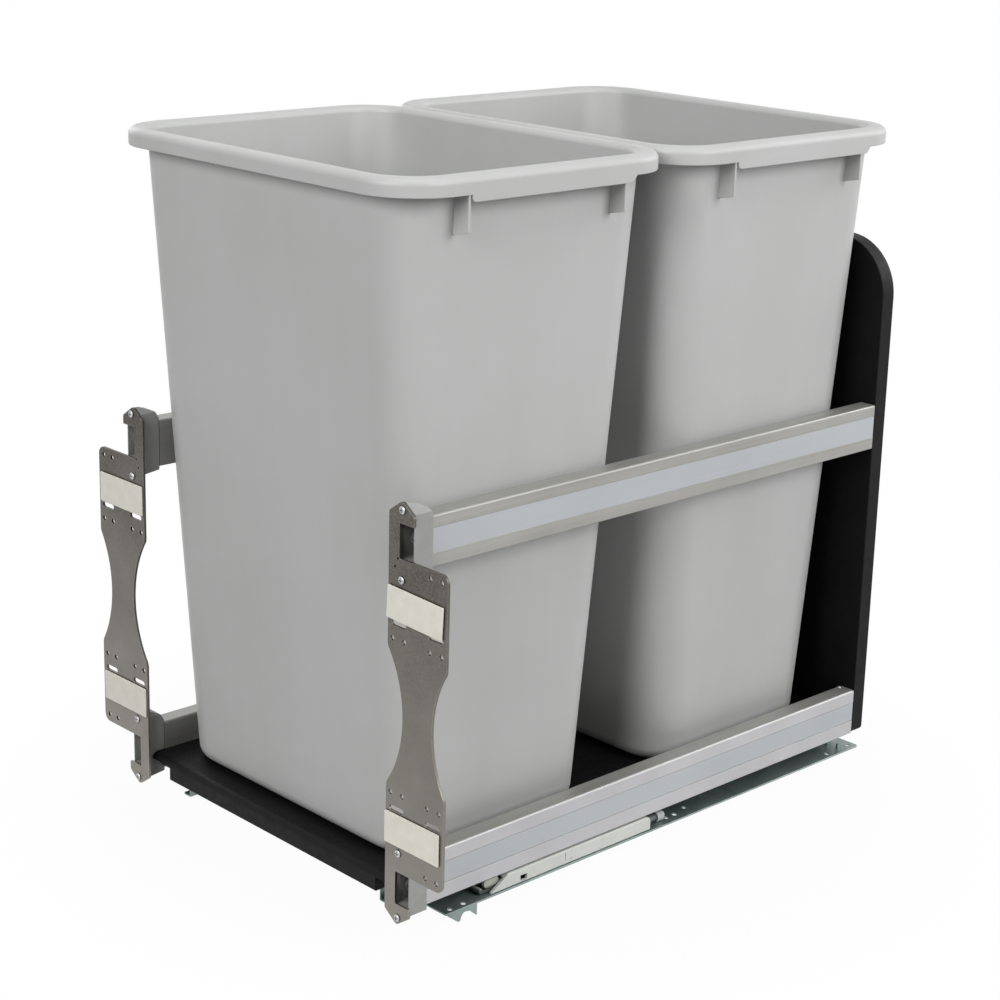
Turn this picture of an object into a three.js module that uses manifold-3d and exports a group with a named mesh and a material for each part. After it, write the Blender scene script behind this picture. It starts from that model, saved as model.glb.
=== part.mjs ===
// Pull-out waste unit: two bins in a frame of aluminium rails, on soft-close ball slides, behind a door.
// Millimetres. Seen from the door, +X is to the right, +Y points into the cabinet and +Z is up.
// The origin lies under the middle of the unit, at the height of the slides' lowest points.

import * as THREE from 'three';
import { mergeVertices } from 'three/addons/utils/BufferGeometryUtils.js';
import Module from 'manifold-3d';

const wasm = await Module();
wasm.setup();

// ---------------------------------------------------------------------------------------------------
// Driving dimensions
// ---------------------------------------------------------------------------------------------------

const SEAT = 0.3; // gap between pieces that are seated on each other

// Rails, and the strips let into their outer faces
const RAIL_SPAN = 361.4; // over the outer faces of the left and right rails
const RAIL_LENGTH = 529;
const RAIL_THICKNESS = 16.8;
const RAIL_WALL = 1.6;
const RAIL_EDGE_RADIUS = 2;
const LOWER_RAIL_HEIGHT = 42.8;
const UPPER_RAIL_HEIGHT = 40.3;
const UPPER_RAIL_RISE = 232.5; // from the lower rail's top to the upper rail's bottom
const INLAY_THICKNESS = 1.2;
const UPPER_INLAY = { low: 10.6, height: 20.6, groove: 0.3 };
const LOWER_INLAY = { low: 13.2, height: 17.4, groove: 1.1 };

// Base board and back panel
const BOARD_THICKNESS = 17.9;
const BOARD_NOSE = 13.4; // how far the board runs out in front of the rails
const BOARD_EDGE_RADIUS = 6;
const BOARD_CORNER_RADIUS = 4;
const RELIEF_WIDTH = 26; // the cove under each front corner of the board
const RELIEF_DEPTH = 14.4;
const RELIEF_HEIGHT = 12.3;
const PANEL_THICKNESS = 15.8;
const PANEL_BELOW_RIM = 87; // from the rims' lower edge down to the panel's top
const PANEL_CORNER_RADIUS = 51;

// Bins
const BIN_HEIGHT = 546;
const BIN_WALL = 2.4;
const BIN_FLOOR = 3;
const BIN_BASE_RADIUS = 12;
const BIN_BASE_INSET_X = 16.6; // from the board's edge to the side of the bin's base
const BIN_BASE_INSET_Y = 41.7; // from the rim's edge to the front and back of the base
const BIN_CORNER_BASE = 38;
const BIN_CORNER_TOP = 36.5;
const RIM_BEYOND_RAILS = 3.8; // the rims' sides stand this much outside the rails
const RIM_OVERHANG = { x: 15.8, y: 13 }; // from the top of the body out to the rim's edge
const RIM_DROP = 14.3;
const RIM_THICKNESS = 2.4;
const RIM_CORNER_RADIUS = 48.5;
const RIM_EDGE_RADIUS = 3;
const RIM_GAP = 0.4; // between the two rims
const RIMS_BEFORE_RAILS = 34;
const RIMS_BEHIND_RAILS = 14.6;
const GRIP_DROP = 5.5; // how much deeper the skirt is between the gusset fins
const GRIP_CORNER_RADIUS = 4;
const GRIP_FRONT_INSET = 2; // from the front fin back to the grip's front end
const GRIP_REAR_REACH = 6; // from the rear fin on to the grip's rear end
const FIN_SPREAD = 162; // distance between the two fins of a side
const FIN_THICKNESS = 2.2;
const FIN_HEIGHT = 43;
const FIN_RISE = 3.4; // the fin's lower edge rises this much outwards

// Door brackets, right-hand one; a drop is measured from either end of the bracket towards its middle
const BRACKET_THICKNESS = 2.4;
const BRACKET_OVER_RAILS = 13.2; // the bracket ends this much above the upper rail
const BRACKET_UNDER_RAILS = 12.6; // and this much below the lower rail
const BRACKET_INSET = 22.7; // from the rails' outer faces in to the bracket's inner edge
const TAB_WIDTH = 28.2;
const PLATE_WIDTH = 66;
const PLATE_CORNER_RADIUS = 7;
const SHOULDER_DROP = 9.8;
const HEAD_RADIUS = 4;
const NOTCH_WIDTH = 16.3;
const NOTCH_HEIGHT = 27.2;
const NOTCH_DROP = 17.4; // from the head's tip to the notch
const LIP_LENGTH = 3;
const LIP_HEIGHT = 24;
const LIP_THICKNESS = 1.6;
const WAIST_INNER = { start: 6.7, depth: 18 }; // start: from the pin holes to the end of the waist
const WAIST_OUTER = { start: 11.7, depth: 15 };
const WAIST_END_RADIUS = 10;
const SLOT_LENGTH = 16.5;
const SLOT_WIDTH = 4.4;
const SLOT_DROP = 95.9;
const SLOT_X = [12.5, 53.5]; // from the bracket's inner edge
const PIN_HOLE_RADIUS = 2.2;
const PIN_HOLE_DROP = 108.5;
const PIN_HOLE_X = [5.2, 18.5, 47, 60.1];
const TOP_HOLE_DROP = 51.4;
const TOP_HOLE_X = [46.5, 59];
const DIMPLE_DROP = [45.1, 51.8];
const DIMPLE_X = [10.3, 7.1];
const DIMPLE_RADIUS = 1;

// Foam pads on the brackets
const PAD_THICKNESS = 1.5;
const PAD_HEIGHT = 26;
const PAD_WIDTH = 61.8;
const PAD_DROP = 79.7; // from the bracket's end to the pad's middle

// End caps and their screws
const CAP_LENGTH = 18.2;
const CAP_PROUD = 3.5; // the cap stands this much outside the rail
const CAP_DOME = 13.3; // height of the cap's front above the rail's top
const CAP_TOP_STEP = 2;
const CAP_BOTTOM_STEP = 3;
const CAP_FRONT_DROP = 4.9;
const CAP_FLANGE = 3;
const CAP_FLANGE_MARGIN = 4.2; // below the lower screw
const CAP_PLUG_LENGTH = 12;
const CAP_RIDGE_RADIUS = 5;
const POCKET_DEPTH = 9;
const POCKET_WALL = 1.2;
const POCKET_WIDTH = 15.1;
const POCKET_MARGIN = 1.4; // the pocket is this much higher and lower than the bracket's notch
const SCREW_X = 15.5; // from the bracket's inner edge
const SCREW_DROPS = [6.5, 60.6]; // from the bracket's ends
const SCREW_RADIUS = 1.8;
const SCREW_HEAD_RADIUS = 3.1;
const SCREW_HEAD_HEIGHT = 1.6;
const SCREW_BITE = 5.4;
const SCREW_CLEARANCE = 0.3;
const CAP_SCREW_RADIUS = 6;
const CAP_SCREW_HEAD_HEIGHT = 2.5;

// Rear plugs of the rails, and the screws through the back panel
const PLUG_LENGTH = 20;
const PANEL_SCREW_RADIUS = 1.6;
const PANEL_SCREW_HEAD_RADIUS = 4;
const PANEL_SCREW_HEAD_HEIGHT = 1.9;
const PANEL_SCREW_BITE = 16;
const COUNTERBORE_CLEARANCE = 0.3;

// Ball slides
const SHEET = 1.5; // cabinet member
const MEMBER_SHEET = 1.2; // the two moving members
const PRONG_DEPTH = 9.5; // from the flange's underside to the prongs' tips
const BALL_RADIUS = 1.3;
const BALL_PLAY = 0.2;
const FLANGE_PROUD = 0.3; // the flange's outer edge stands this much outside the rail
const FLANGE_REACH = 43.4; // from the slide's centre to the flange's outer edge
const MEMBER_HEIGHT = 5; // over the flanges of the intermediate member
const MEMBER_HALF_WIDTH = 7.4;
const CHANNEL_WEB_OFFSET = 9.4; // from the slide's centre to the inner faces of the channels' webs
const CHANNEL_MOUTH = 1.4; // from the slide's centre to the channels' mouths
const CHANNEL_LIP = 1;
const ARM_CLEARANCE = 1.3; // between the cabinet member's top and what passes above it
const MOUNTING_WIDTH = 21.5; // of the drawer member's flange under the board
const CABINET_MEMBER_FRONT = 22.5; // behind the rails' front ends
const CABINET_MEMBER_BEHIND = 12.5; // beyond the rails' rear ends
const INTERMEDIATE_FRONT = 12.5;
const MEMBER_REAR = 2.5;
const DRAWER_MEMBER_FRONT = 0.5;
const OUTER_CAGE = { front: -100, length: 220 };
const INNER_CAGE = { front: -112, length: 230 };
const CAGE_SHEET = 0.6;
const CAGE_WEB = 0.8;
const CAGE_GAP = 0.4;
const BALLS_PER_ROW = 4;
const FLANGE_CORNER_RADIUS = 3;
const FLANGE_HOLES = [ // from the flange's outer edge, from the middle of the rails, radius
  [5.5, -218.6, 2.2],
  [4.9, -233.5, 2],
  [8.7, 21.3, 2],
  [9.2, 32, 2.4],
  [13, 48.6, 2],
  [6, 238, 2],
  [7.2, 269.4, 2.2],
];
const POSTS = [[21, 256.7], [8.5, 256.8]]; // from the flange's outer edge, from the middle of the rails
const POST_RADIUS = 1.7;
const POST_HEIGHT = 4;

// Locating prongs under the flange's front end: distance behind the flange's front, share of the depth
const PRONG_OUTLINE = [
  [0.5, 0], [3, 0.17], [13.5, 1], [15.5, 0.98], [16.5, 0.63], [19, 0.28], [25.5, 0.39], [32.5, 1],
  [33.5, 1], [33.5, 0],
];

// Soft close
const HOUSING_INSET = 10.5; // from the flange's outer edge to the middle of the housing and the catch
const DAMPER_INSET = 8.5; // from the flange's outer edge to the damper's axis
const HOUSING_WIDTH = 18;
const HOUSING_BEHIND = 72.5; // from the rails' front ends back to the housing
const HOUSING_SLANT = 18.5; // how far the housing's front leans back over its height
const HOUSING_LENGTH = 185;
const HOUSING_WALL = 2.4;
const HOUSING_EDGE_RADIUS = 1.5;
const HOUSING_CAVITY_LENGTH = 132;
const BARREL_RADIUS = 4;
const BARREL_PLAY = 0.3;
const BARREL_START = 72; // from the housing's front to the barrel
const BARREL_TAIL = 22.5; // how far the barrel stands out of the housing's rear
const COLLAR_RADIUS = 4.8;
const COLLAR_LENGTH = 8;
const COLLAR_GAP = 12.5; // from the housing's rear to the collar
const ROD_RADIUS = 1.2;
const ROD_PLAY = 0.3;
const ROD_REACH = 132; // from the housing's front to the rod's rear end
const CATCH_WIDTH = 10;
const CATCH_OUT = 13; // how far the catch stands out of the housing at rest
const CATCH_LENGTH = 28;
const CATCH_HEIGHT = 7.2;
const CATCH_POCKET = { start: 6.5, length: 9, depth: 3.6 }; // start: from the catch's front
const CATCH_FIN_WIDTH = 3.2;
const CATCH_FIN_RISE = 4.2;
const CATCH_FIN_LENGTH = 23.5;
const PEG_RADIUS = 2.5;
const PEG_OFFSET_X = 2.5; // from the middle of the catch towards the slide
const PEG_PLAY = 0.4;
const ARM_LENGTH = 16;
const INDEX_HOLE = { start: 32, length: 7.5, height: 5 }; // start: from the housing's front

// ---------------------------------------------------------------------------------------------------
// Places worked out from them. Y runs from the middle of the rails.
// ---------------------------------------------------------------------------------------------------

const railOuter = RAIL_SPAN / 2;
const railInner = railOuter - RAIL_THICKNESS;
const railFront = -RAIL_LENGTH / 2;
const railRear = RAIL_LENGTH / 2;

// Heights in the slides, from the bottom up
const flangeTop = PRONG_DEPTH + SHEET;
const lowerBallZ = flangeTop + BALL_PLAY + BALL_RADIUS;
const memberBottom = lowerBallZ + BALL_RADIUS + BALL_PLAY;
const memberTop = memberBottom + MEMBER_HEIGHT;
const upperBallZ = memberTop + BALL_PLAY + BALL_RADIUS;
const channelTop = upperBallZ + BALL_RADIUS + BALL_PLAY;
const cabinetTop = channelTop + SHEET;
const deckBottom = cabinetTop + ARM_CLEARANCE;
const deckTop = deckBottom + MEMBER_SHEET;

// Heights in the frame
const boardBottom = deckTop + SEAT;
const boardTop = boardBottom + BOARD_THICKNESS;
const lowerRail = { bottom: boardBottom, top: boardBottom + LOWER_RAIL_HEIGHT, inlay: LOWER_INLAY };
const upperRailBottom = lowerRail.top + UPPER_RAIL_RISE;
const upperRail = { bottom: upperRailBottom, top: upperRailBottom + UPPER_RAIL_HEIGHT, inlay: UPPER_INLAY };

// Bins
const binBottom = boardTop + SEAT;
const binTop = binBottom + BIN_HEIGHT;
const rimHalfX = railOuter + RIM_BEYOND_RAILS;
const rimHalfY = (RAIL_LENGTH + RIMS_BEFORE_RAILS + RIMS_BEHIND_RAILS - RIM_GAP) / 4;
const frontBinY = railFront - RIMS_BEFORE_RAILS + rimHalfY;
const rearBinY = railRear + RIMS_BEHIND_RAILS - rimHalfY;

// Board and panel
const boardHalfWidth = railInner - SEAT;
const boardFront = railFront - BOARD_NOSE;
const panelFront = railRear + SEAT;
const panelRear = panelFront + PANEL_THICKNESS;
const panelTop = binTop - RIM_DROP - PANEL_BELOW_RIM;

// Caps and brackets
const capRear = railFront - SEAT;
const capFront = capRear - CAP_LENGTH;
const bracketRear = capFront - SEAT;
const bracketFront = bracketRear - BRACKET_THICKNESS;
const padRear = bracketFront - SEAT;
const padFront = padRear - PAD_THICKNESS;
const capOuter = railOuter + CAP_PROUD;
const bracketTop = upperRail.top + BRACKET_OVER_RAILS;
const bracketBottom = lowerRail.bottom - BRACKET_UNDER_RAILS;
const bracketMiddle = (bracketTop + bracketBottom) / 2;
const bracketInner = railOuter - BRACKET_INSET;
const screwX = bracketInner + SCREW_X;
const bracketTipX = bracketInner + TAB_WIDTH / 2;
const screwHeights = {
  upper: [bracketTop - SCREW_DROPS[0], bracketTop - SCREW_DROPS[1]],
  lower: [bracketBottom + SCREW_DROPS[1], bracketBottom + SCREW_DROPS[0]],
};
const notch = {
  x: bracketInner + TAB_WIDTH - NOTCH_WIDTH,
  upper: [bracketTop - NOTCH_DROP - NOTCH_HEIGHT, bracketTop - NOTCH_DROP],
  lower: [bracketBottom + NOTCH_DROP, bracketBottom + NOTCH_DROP + NOTCH_HEIGHT],
};

// Hollow of a rail: what the caps' and the rear plugs fit in
const hollowInner = railInner + RAIL_WALL;
const hollowOuter = railOuter - INLAY_THICKNESS - SEAT - RAIL_WALL;
const hollowX = (hollowInner + hollowOuter) / 2;

// Slides
const flangeOuter = railOuter + FLANGE_PROUD;
const slideX = flangeOuter - FLANGE_REACH;
const slideFront = railFront + CABINET_MEMBER_FRONT;
const slideRear = railRear + CABINET_MEMBER_BEHIND;
const ballX = (MEMBER_HALF_WIDTH + CHANNEL_MOUTH) / 2 + 0.5; // from the slide's centre
const housingX = flangeOuter - HOUSING_INSET;
const damperX = flangeOuter - DAMPER_INSET;
const damperZ = (flangeTop + channelTop) / 2;
const housingBottom = flangeTop + SEAT;
const catchTop = housingBottom + CATCH_HEIGHT;
const housingFront = railFront + HOUSING_BEHIND;
const housingRear = housingFront + HOUSING_LENGTH;
const cavityRear = housingFront + HOUSING_CAVITY_LENGTH;
const barrelFront = housingFront + BARREL_START;
const catchFront = housingFront - CATCH_OUT;
const catchRear = catchFront + CATCH_LENGTH;
const catchPocketFront = catchFront + CATCH_POCKET.start;
const catchPocketRear = catchPocketFront + CATCH_POCKET.length;
const pegY = (catchPocketFront + catchPocketRear) / 2;

// ---------------------------------------------------------------------------------------------------
// Outlines
// ---------------------------------------------------------------------------------------------------

// Closed outline through [a, b] points. A third number is the radius that rounds that corner.
function outline(points, steps = 4) {
  const corners = points.map(([a, b]) => new THREE.Vector2(a, b));
  const path = [];
  points.forEach(([, , radius = 0], i) => {
    const corner = corners[i];
    const toPrevious = corners.at(i - 1).clone().sub(corner);
    const toNext = corners[(i + 1) % corners.length].clone().sub(corner);
    const room = 0.49 * Math.min(toPrevious.length(), toNext.length());
    toPrevious.normalize();
    toNext.normalize();
    const half = Math.acos(THREE.MathUtils.clamp(toPrevious.dot(toNext), -1, 1)) / 2;
    const reach = Math.min(radius / Math.tan(half), room);
    if (radius === 0 || reach < 0.01) {
      path.push(corner);
      return;
    }
    const arcRadius = reach * Math.tan(half);
    const middle = toPrevious.clone().add(toNext).normalize();
    const centre = corner.clone().addScaledVector(middle, arcRadius / Math.sin(half));
    const start = corner.clone().addScaledVector(toPrevious, reach).sub(centre);
    const end = corner.clone().addScaledVector(toNext, reach).sub(centre);
    const sweep = Math.atan2(start.cross(end), start.dot(end));
    for (let k = 0; k <= steps; k += 1) {
      const turned = start.clone().rotateAround(new THREE.Vector2(), (sweep * k) / steps);
      path.push(turned.add(centre));
    }
  });
  return path;
}

function rectangle(a0, b0, a1, b1, radius = 0, steps = 4) {
  return outline([[a0, b0, radius], [a1, b0, radius], [a1, b1, radius], [a0, b1, radius]], steps);
}

function circle(a, b, radius, sides = 12) {
  return Array.from({ length: sides }, (_, k) => {
    const angle = (2 * Math.PI * k) / sides;
    return new THREE.Vector2(a + radius * Math.cos(angle), b + radius * Math.sin(angle));
  });
}

// Points of a shallow arc that dips by depth from the line a = edge, from b0 to b1
function waist(edge, b0, b1, depth, steps = 9) {
  const halfChord = (b1 - b0) / 2;
  const radius = (halfChord ** 2 + depth ** 2) / (2 * Math.abs(depth));
  const spread = Math.asin(halfChord / Math.abs(radius));
  return Array.from({ length: steps + 1 }, (_, k) => {
    const angle = spread * ((2 * k) / steps - 1);
    const dip = radius * (Math.cos(angle) - Math.cos(spread));
    const end = k === 0 || k === steps;
    const b = (b0 + b1) / 2 + radius * Math.sin(angle);
    return [edge + Math.sign(depth) * dip, b, end ? WAIST_END_RADIUS : 0];
  });
}

// ---------------------------------------------------------------------------------------------------
// Solids
// ---------------------------------------------------------------------------------------------------

function prism(points, holes, depth) {
  const shape = new THREE.Shape(points);
  shape.holes = holes.map((hole) => new THREE.Path(hole));
  return new THREE.ExtrudeGeometry(shape, { depth, bevelEnabled: false });
}

// Prism along X of a (y, z) outline, along Y of an (x, z) outline and along Z of an (x, y) outline
function alongX(points, x0, x1, holes = []) {
  const turn = new THREE.Matrix4().set(0, 0, 1, 0, 1, 0, 0, 0, 0, 1, 0, 0, 0, 0, 0, 1);
  return prism(points, holes, x1 - x0).applyMatrix4(turn).translate(x0, 0, 0);
}

function alongY(points, y0, y1, holes = []) {
  const turn = new THREE.Matrix4().set(1, 0, 0, 0, 0, 0, -1, 0, 0, 1, 0, 0, 0, 0, 0, 1);
  return prism(points, holes, y1 - y0).applyMatrix4(turn).translate(0, y1, 0);
}

function alongZ(points, z0, z1, holes = []) {
  return prism(points, holes, z1 - z0).translate(0, 0, z0);
}

function block(x0, x1, y0, y1, z0, z1) {
  const box = new THREE.BoxGeometry(x1 - x0, y1 - y0, z1 - z0);
  return box.translate((x0 + x1) / 2, (y0 + y1) / 2, (z0 + z1) / 2);
}

// Turned solid about an axis along Y, from [radius, y] points that start and end on the axis
function turned(profile, x, z, sides = 12) {
  return new THREE.LatheGeometry(profile.map(([r, y]) => new THREE.Vector2(r, y)), sides).translate(x, 0, z);
}

function bar(x, z, radius, y0, y1, sides = 12) {
  return turned([[0, y0], [radius, y0], [radius, y1], [0, y1]], x, z, sides);
}

function mirrored(geometry) {
  const copy = geometry.index ? geometry.toNonIndexed() : geometry.clone();
  copy.deleteAttribute('normal');
  copy.deleteAttribute('uv');
  const at = copy.attributes.position;
  for (let i = 0; i < at.count; i += 3) {
    const corner = [at.getX(i + 1), at.getY(i + 1), at.getZ(i + 1)];
    at.setXYZ(i + 1, at.getX(i + 2), at.getY(i + 2), at.getZ(i + 2));
    at.setXYZ(i + 2, ...corner);
  }
  copy.applyMatrix4(new THREE.Matrix4().makeScale(-1, 1, 1));
  copy.computeVertexNormals();
  return copy;
}

function toSolid(geometry) {
  const bare = geometry.clone();
  bare.deleteAttribute('normal');
  bare.deleteAttribute('uv');
  const merged = mergeVertices(bare, 1e-4);
  const vertProperties = Float32Array.from(merged.attributes.position.array);
  const triVerts = Uint32Array.from(merged.index.array);
  return new wasm.Manifold(new wasm.Mesh({ numProp: 3, vertProperties, triVerts }));
}

function toGeometry(solid) {
  const mesh = solid.getMesh();
  const geometry = new THREE.BufferGeometry();
  geometry.setAttribute('position', new THREE.BufferAttribute(mesh.vertProperties, 3));
  geometry.setIndex(new THREE.BufferAttribute(mesh.triVerts, 1));
  geometry.computeVertexNormals();
  return geometry;
}

function join(...pieces) {
  return toGeometry(pieces.map(toSolid).reduce((whole, piece) => whole.add(piece)));
}

function cut(body, ...tools) {
  return toGeometry(tools.map(toSolid).reduce((whole, tool) => whole.subtract(tool), toSolid(body)));
}

// Skin over rings of equally many points, closed by a flat fan at each end
function loft(rings) {
  const count = rings[0].length;
  const positions = rings.flat().flatMap((point) => point.toArray());
  const index = [];
  rings.slice(1).forEach((_, i) => {
    for (let j = 0; j < count; j += 1) {
      const a = i * count + j;
      const b = i * count + ((j + 1) % count);
      index.push(a, b, b + count, a, b + count, a + count);
    }
  });
  const centres = [rings[0], rings.at(-1)].map((ring) => new THREE.Vector3(0, 0, ring[0].z));
  centres.forEach((centre) => positions.push(...centre.toArray()));
  const first = rings.length * count;
  const last = (rings.length - 1) * count;
  for (let j = 0; j < count; j += 1) {
    const next = (j + 1) % count;
    index.push(first, next, j);
    index.push(first + 1, last + j, last + next);
  }
  const geometry = new THREE.BufferGeometry();
  geometry.setAttribute('position', new THREE.Float32BufferAttribute(positions, 3));
  geometry.setIndex(index);
  geometry.computeVertexNormals();
  return geometry;
}

// ---------------------------------------------------------------------------------------------------
// Materials and the group
// ---------------------------------------------------------------------------------------------------

const FINISHES = {
  bin: { color: 0xb9bab8, roughness: 0.45, metalness: 0 },
  rail: { color: 0x9d9b96, roughness: 0.4, metalness: 0.7 },
  inlay: { color: 0xb2b9c0, roughness: 0.35, metalness: 0.6 },
  cap: { color: 0x7e7f7d, roughness: 0.5, metalness: 0 },
  bracket: { color: 0x77736c, roughness: 0.4, metalness: 0.8 },
  pad: { color: 0xdedcd2, roughness: 0.9, metalness: 0 },
  board: { color: 0x141312, roughness: 0.6, metalness: 0 },
  screw: { color: 0xc3c4c4, roughness: 0.3, metalness: 0.9 },
  slide: { color: 0x6b7677, roughness: 0.35, metalness: 0.85 },
  cage: { color: 0xa7aaab, roughness: 0.4, metalness: 0.8 },
  housing: { color: 0xd6d9d3, roughness: 0.5, metalness: 0 },
};

const unit = new THREE.Group();

function add(name, geometry, finish) {
  const mesh = new THREE.Mesh(geometry, new THREE.MeshStandardMaterial(FINISHES[finish]));
  mesh.name = name;
  unit.add(mesh);
  return mesh;
}

// A right-hand piece and its mirror image
function addPair(name, geometry, finish) {
  add(`${name}_right`, geometry, finish);
  add(`${name}_left`, mirrored(geometry), finish);
}

// ---------------------------------------------------------------------------------------------------
// Base board and back panel
// ---------------------------------------------------------------------------------------------------

function baseBoard() {
  const side = outline([
    [boardFront, boardBottom],
    [railRear, boardBottom],
    [railRear, boardTop],
    [boardFront, boardTop, BOARD_EDGE_RADIUS],
  ]);
  const plan = outline([
    [-boardHalfWidth, boardFront, BOARD_CORNER_RADIUS],
    [boardHalfWidth, boardFront, BOARD_CORNER_RADIUS],
    [boardHalfWidth, railRear],
    [-boardHalfWidth, railRear],
  ]);
  const sideSolid = toSolid(alongX(side, -boardHalfWidth, boardHalfWidth));
  const planSolid = toSolid(alongZ(plan, boardBottom - 1, boardTop + 1));
  const cove = outline([
    [boardFront - 1, boardBottom - 1],
    [boardFront + RELIEF_DEPTH, boardBottom - 1],
    [boardFront + RELIEF_DEPTH, boardBottom],
    [boardFront + 0.54 * RELIEF_DEPTH, boardBottom + 0.5 * RELIEF_HEIGHT],
    [boardFront + 0.19 * RELIEF_DEPTH, boardBottom + RELIEF_HEIGHT, 2],
    [boardFront - 1, boardBottom + RELIEF_HEIGHT],
  ]);
  const inside = boardHalfWidth - RELIEF_WIDTH;
  const covers = [
    alongX(cove, inside, boardHalfWidth + 1),
    alongX(cove, -boardHalfWidth - 1, -inside),
  ];
  return cut(toGeometry(sideSolid.intersect(planSolid)), ...covers);
}

add('base_board', baseBoard(), 'board');

const railMiddles = [
  (upperRail.bottom + upperRail.top) / 2,
  (lowerRail.bottom + lowerRail.top) / 2,
];

function backPanel() {
  const face = outline([
    [-railOuter, boardBottom],
    [railOuter, boardBottom],
    [railOuter, panelTop, PANEL_CORNER_RADIUS],
    [-railOuter, panelTop, PANEL_CORNER_RADIUS],
  ], 10);
  const places = railMiddles.flatMap((z) => [[hollowX, z], [-hollowX, z]]);
  const shankRadius = PANEL_SCREW_RADIUS + SCREW_CLEARANCE;
  const headRadius = PANEL_SCREW_HEAD_RADIUS + COUNTERBORE_CLEARANCE;
  const headSeat = panelRear - PANEL_SCREW_HEAD_HEIGHT - 2 * SEAT;
  const tools = places.flatMap(([x, z]) => [
    bar(x, z, shankRadius, panelFront - 1, panelRear),
    bar(x, z, headRadius, headSeat, panelRear + 1),
  ]);
  return cut(alongY(face, panelFront, panelRear), ...tools);
}

add('back_panel', backPanel(), 'board');

// ---------------------------------------------------------------------------------------------------
// Rails: hollow extrusions with an inlaid strip, a moulded cap in front and a plug behind
// ---------------------------------------------------------------------------------------------------

function railProfile({ bottom, top, inlay }) {
  const floor = railOuter - INLAY_THICKNESS - SEAT;
  return outline([
    [railInner, bottom],
    [railOuter, bottom],
    [railOuter, bottom + inlay.low - inlay.groove],
    [floor, bottom + inlay.low - inlay.groove],
    [floor, bottom + inlay.low + inlay.height + SEAT],
    [railOuter, bottom + inlay.low + inlay.height + SEAT],
    [railOuter, top, RAIL_EDGE_RADIUS],
    [railInner, top, RAIL_EDGE_RADIUS],
  ], 3);
}

function rail(level) {
  const hollow = rectangle(hollowInner, level.bottom + RAIL_WALL, hollowOuter, level.top - RAIL_WALL);
  return alongY(railProfile(level), railFront, railRear, [hollow]);
}

function inlay({ bottom, inlay: strip }) {
  const low = bottom + strip.low;
  return block(railOuter - INLAY_THICKNESS, railOuter, railFront, railRear, low, low + strip.height);
}

function endCap(level, screws, notchSpan) {
  const side = outline([
    [capRear, level.bottom - CAP_BOTTOM_STEP, 0.8],
    [capRear, level.top + CAP_TOP_STEP, 1],
    [capRear - 0.2 * CAP_LENGTH, level.top + 0.62 * CAP_DOME, 4],
    [capFront + 0.4 * CAP_LENGTH, level.top + 0.8 * CAP_DOME, 8],
    [capFront, level.top + CAP_DOME, 1.2],
    [capFront, screws[1] - CAP_FLANGE_MARGIN],
    [capFront + CAP_FLANGE, screws[1] - CAP_FLANGE_MARGIN],
    [capFront + CAP_FLANGE, level.bottom - CAP_FRONT_DROP],
  ], 3);
  // Seen from the front both ends fall away from the middle of the bracket's tab, as its ends do
  const ridge = level.top + CAP_DOME;
  const keel = screws[1] - CAP_FLANGE_MARGIN;
  const fallAt = (x) => (Math.abs(x - bracketTipX) * SHOULDER_DROP) / (TAB_WIDTH / 2);
  const left = railInner - 1;
  const right = capOuter + 1;
  const front = outline([
    [left, keel + fallAt(left)],
    [bracketTipX, keel, CAP_RIDGE_RADIUS],
    [right, keel + fallAt(right)],
    [right, ridge - fallAt(right)],
    [bracketTipX, ridge, CAP_RIDGE_RADIUS],
    [left, ridge - fallAt(left)],
  ], 3);
  const body = toSolid(alongX(side, railInner, capOuter))
    .intersect(toSolid(alongY(front, capFront - 1, capRear + 1)));
  const plug = block(
    hollowInner + SEAT, hollowOuter - SEAT, capRear - 1, railFront + CAP_PLUG_LENGTH,
    level.bottom + RAIL_WALL + SEAT, level.top - RAIL_WALL - SEAT,
  );
  const pocketOuter = capOuter - POCKET_WALL;
  const pocket = block(
    pocketOuter - POCKET_WIDTH, pocketOuter, capFront - 1, capFront + POCKET_DEPTH,
    notchSpan[0] - POCKET_MARGIN, notchSpan[1] + POCKET_MARGIN,
  );
  const holes = screws.map((z) => bar(
    screwX, z, SCREW_RADIUS + SCREW_CLEARANCE, capFront - 1, capFront + SCREW_BITE + SEAT,
  ));
  return cut(join(toGeometry(body), plug), pocket, ...holes);
}

// Pan-head screw whose head bears on the plane y = seat; it points along +Y, or -Y when turned round
function screw(x, z, seat, headRadius, headHeight, radius, length, direction = 1) {
  const crown = headRadius * 0.6;
  const profile = [
    [0, seat - direction * headHeight],
    [crown, seat - direction * headHeight],
    [headRadius, seat - direction * headHeight * 0.45],
    [headRadius, seat],
    [radius, seat],
    [radius, seat + direction * (length - radius)],
    [0, seat + direction * length],
  ];
  return turned(direction > 0 ? profile : profile.reverse(), x, z, 8);
}

const levels = { upper: upperRail, lower: lowerRail };
const adjusterX = capOuter - POCKET_WALL - SEAT - CAP_SCREW_RADIUS;

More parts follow.
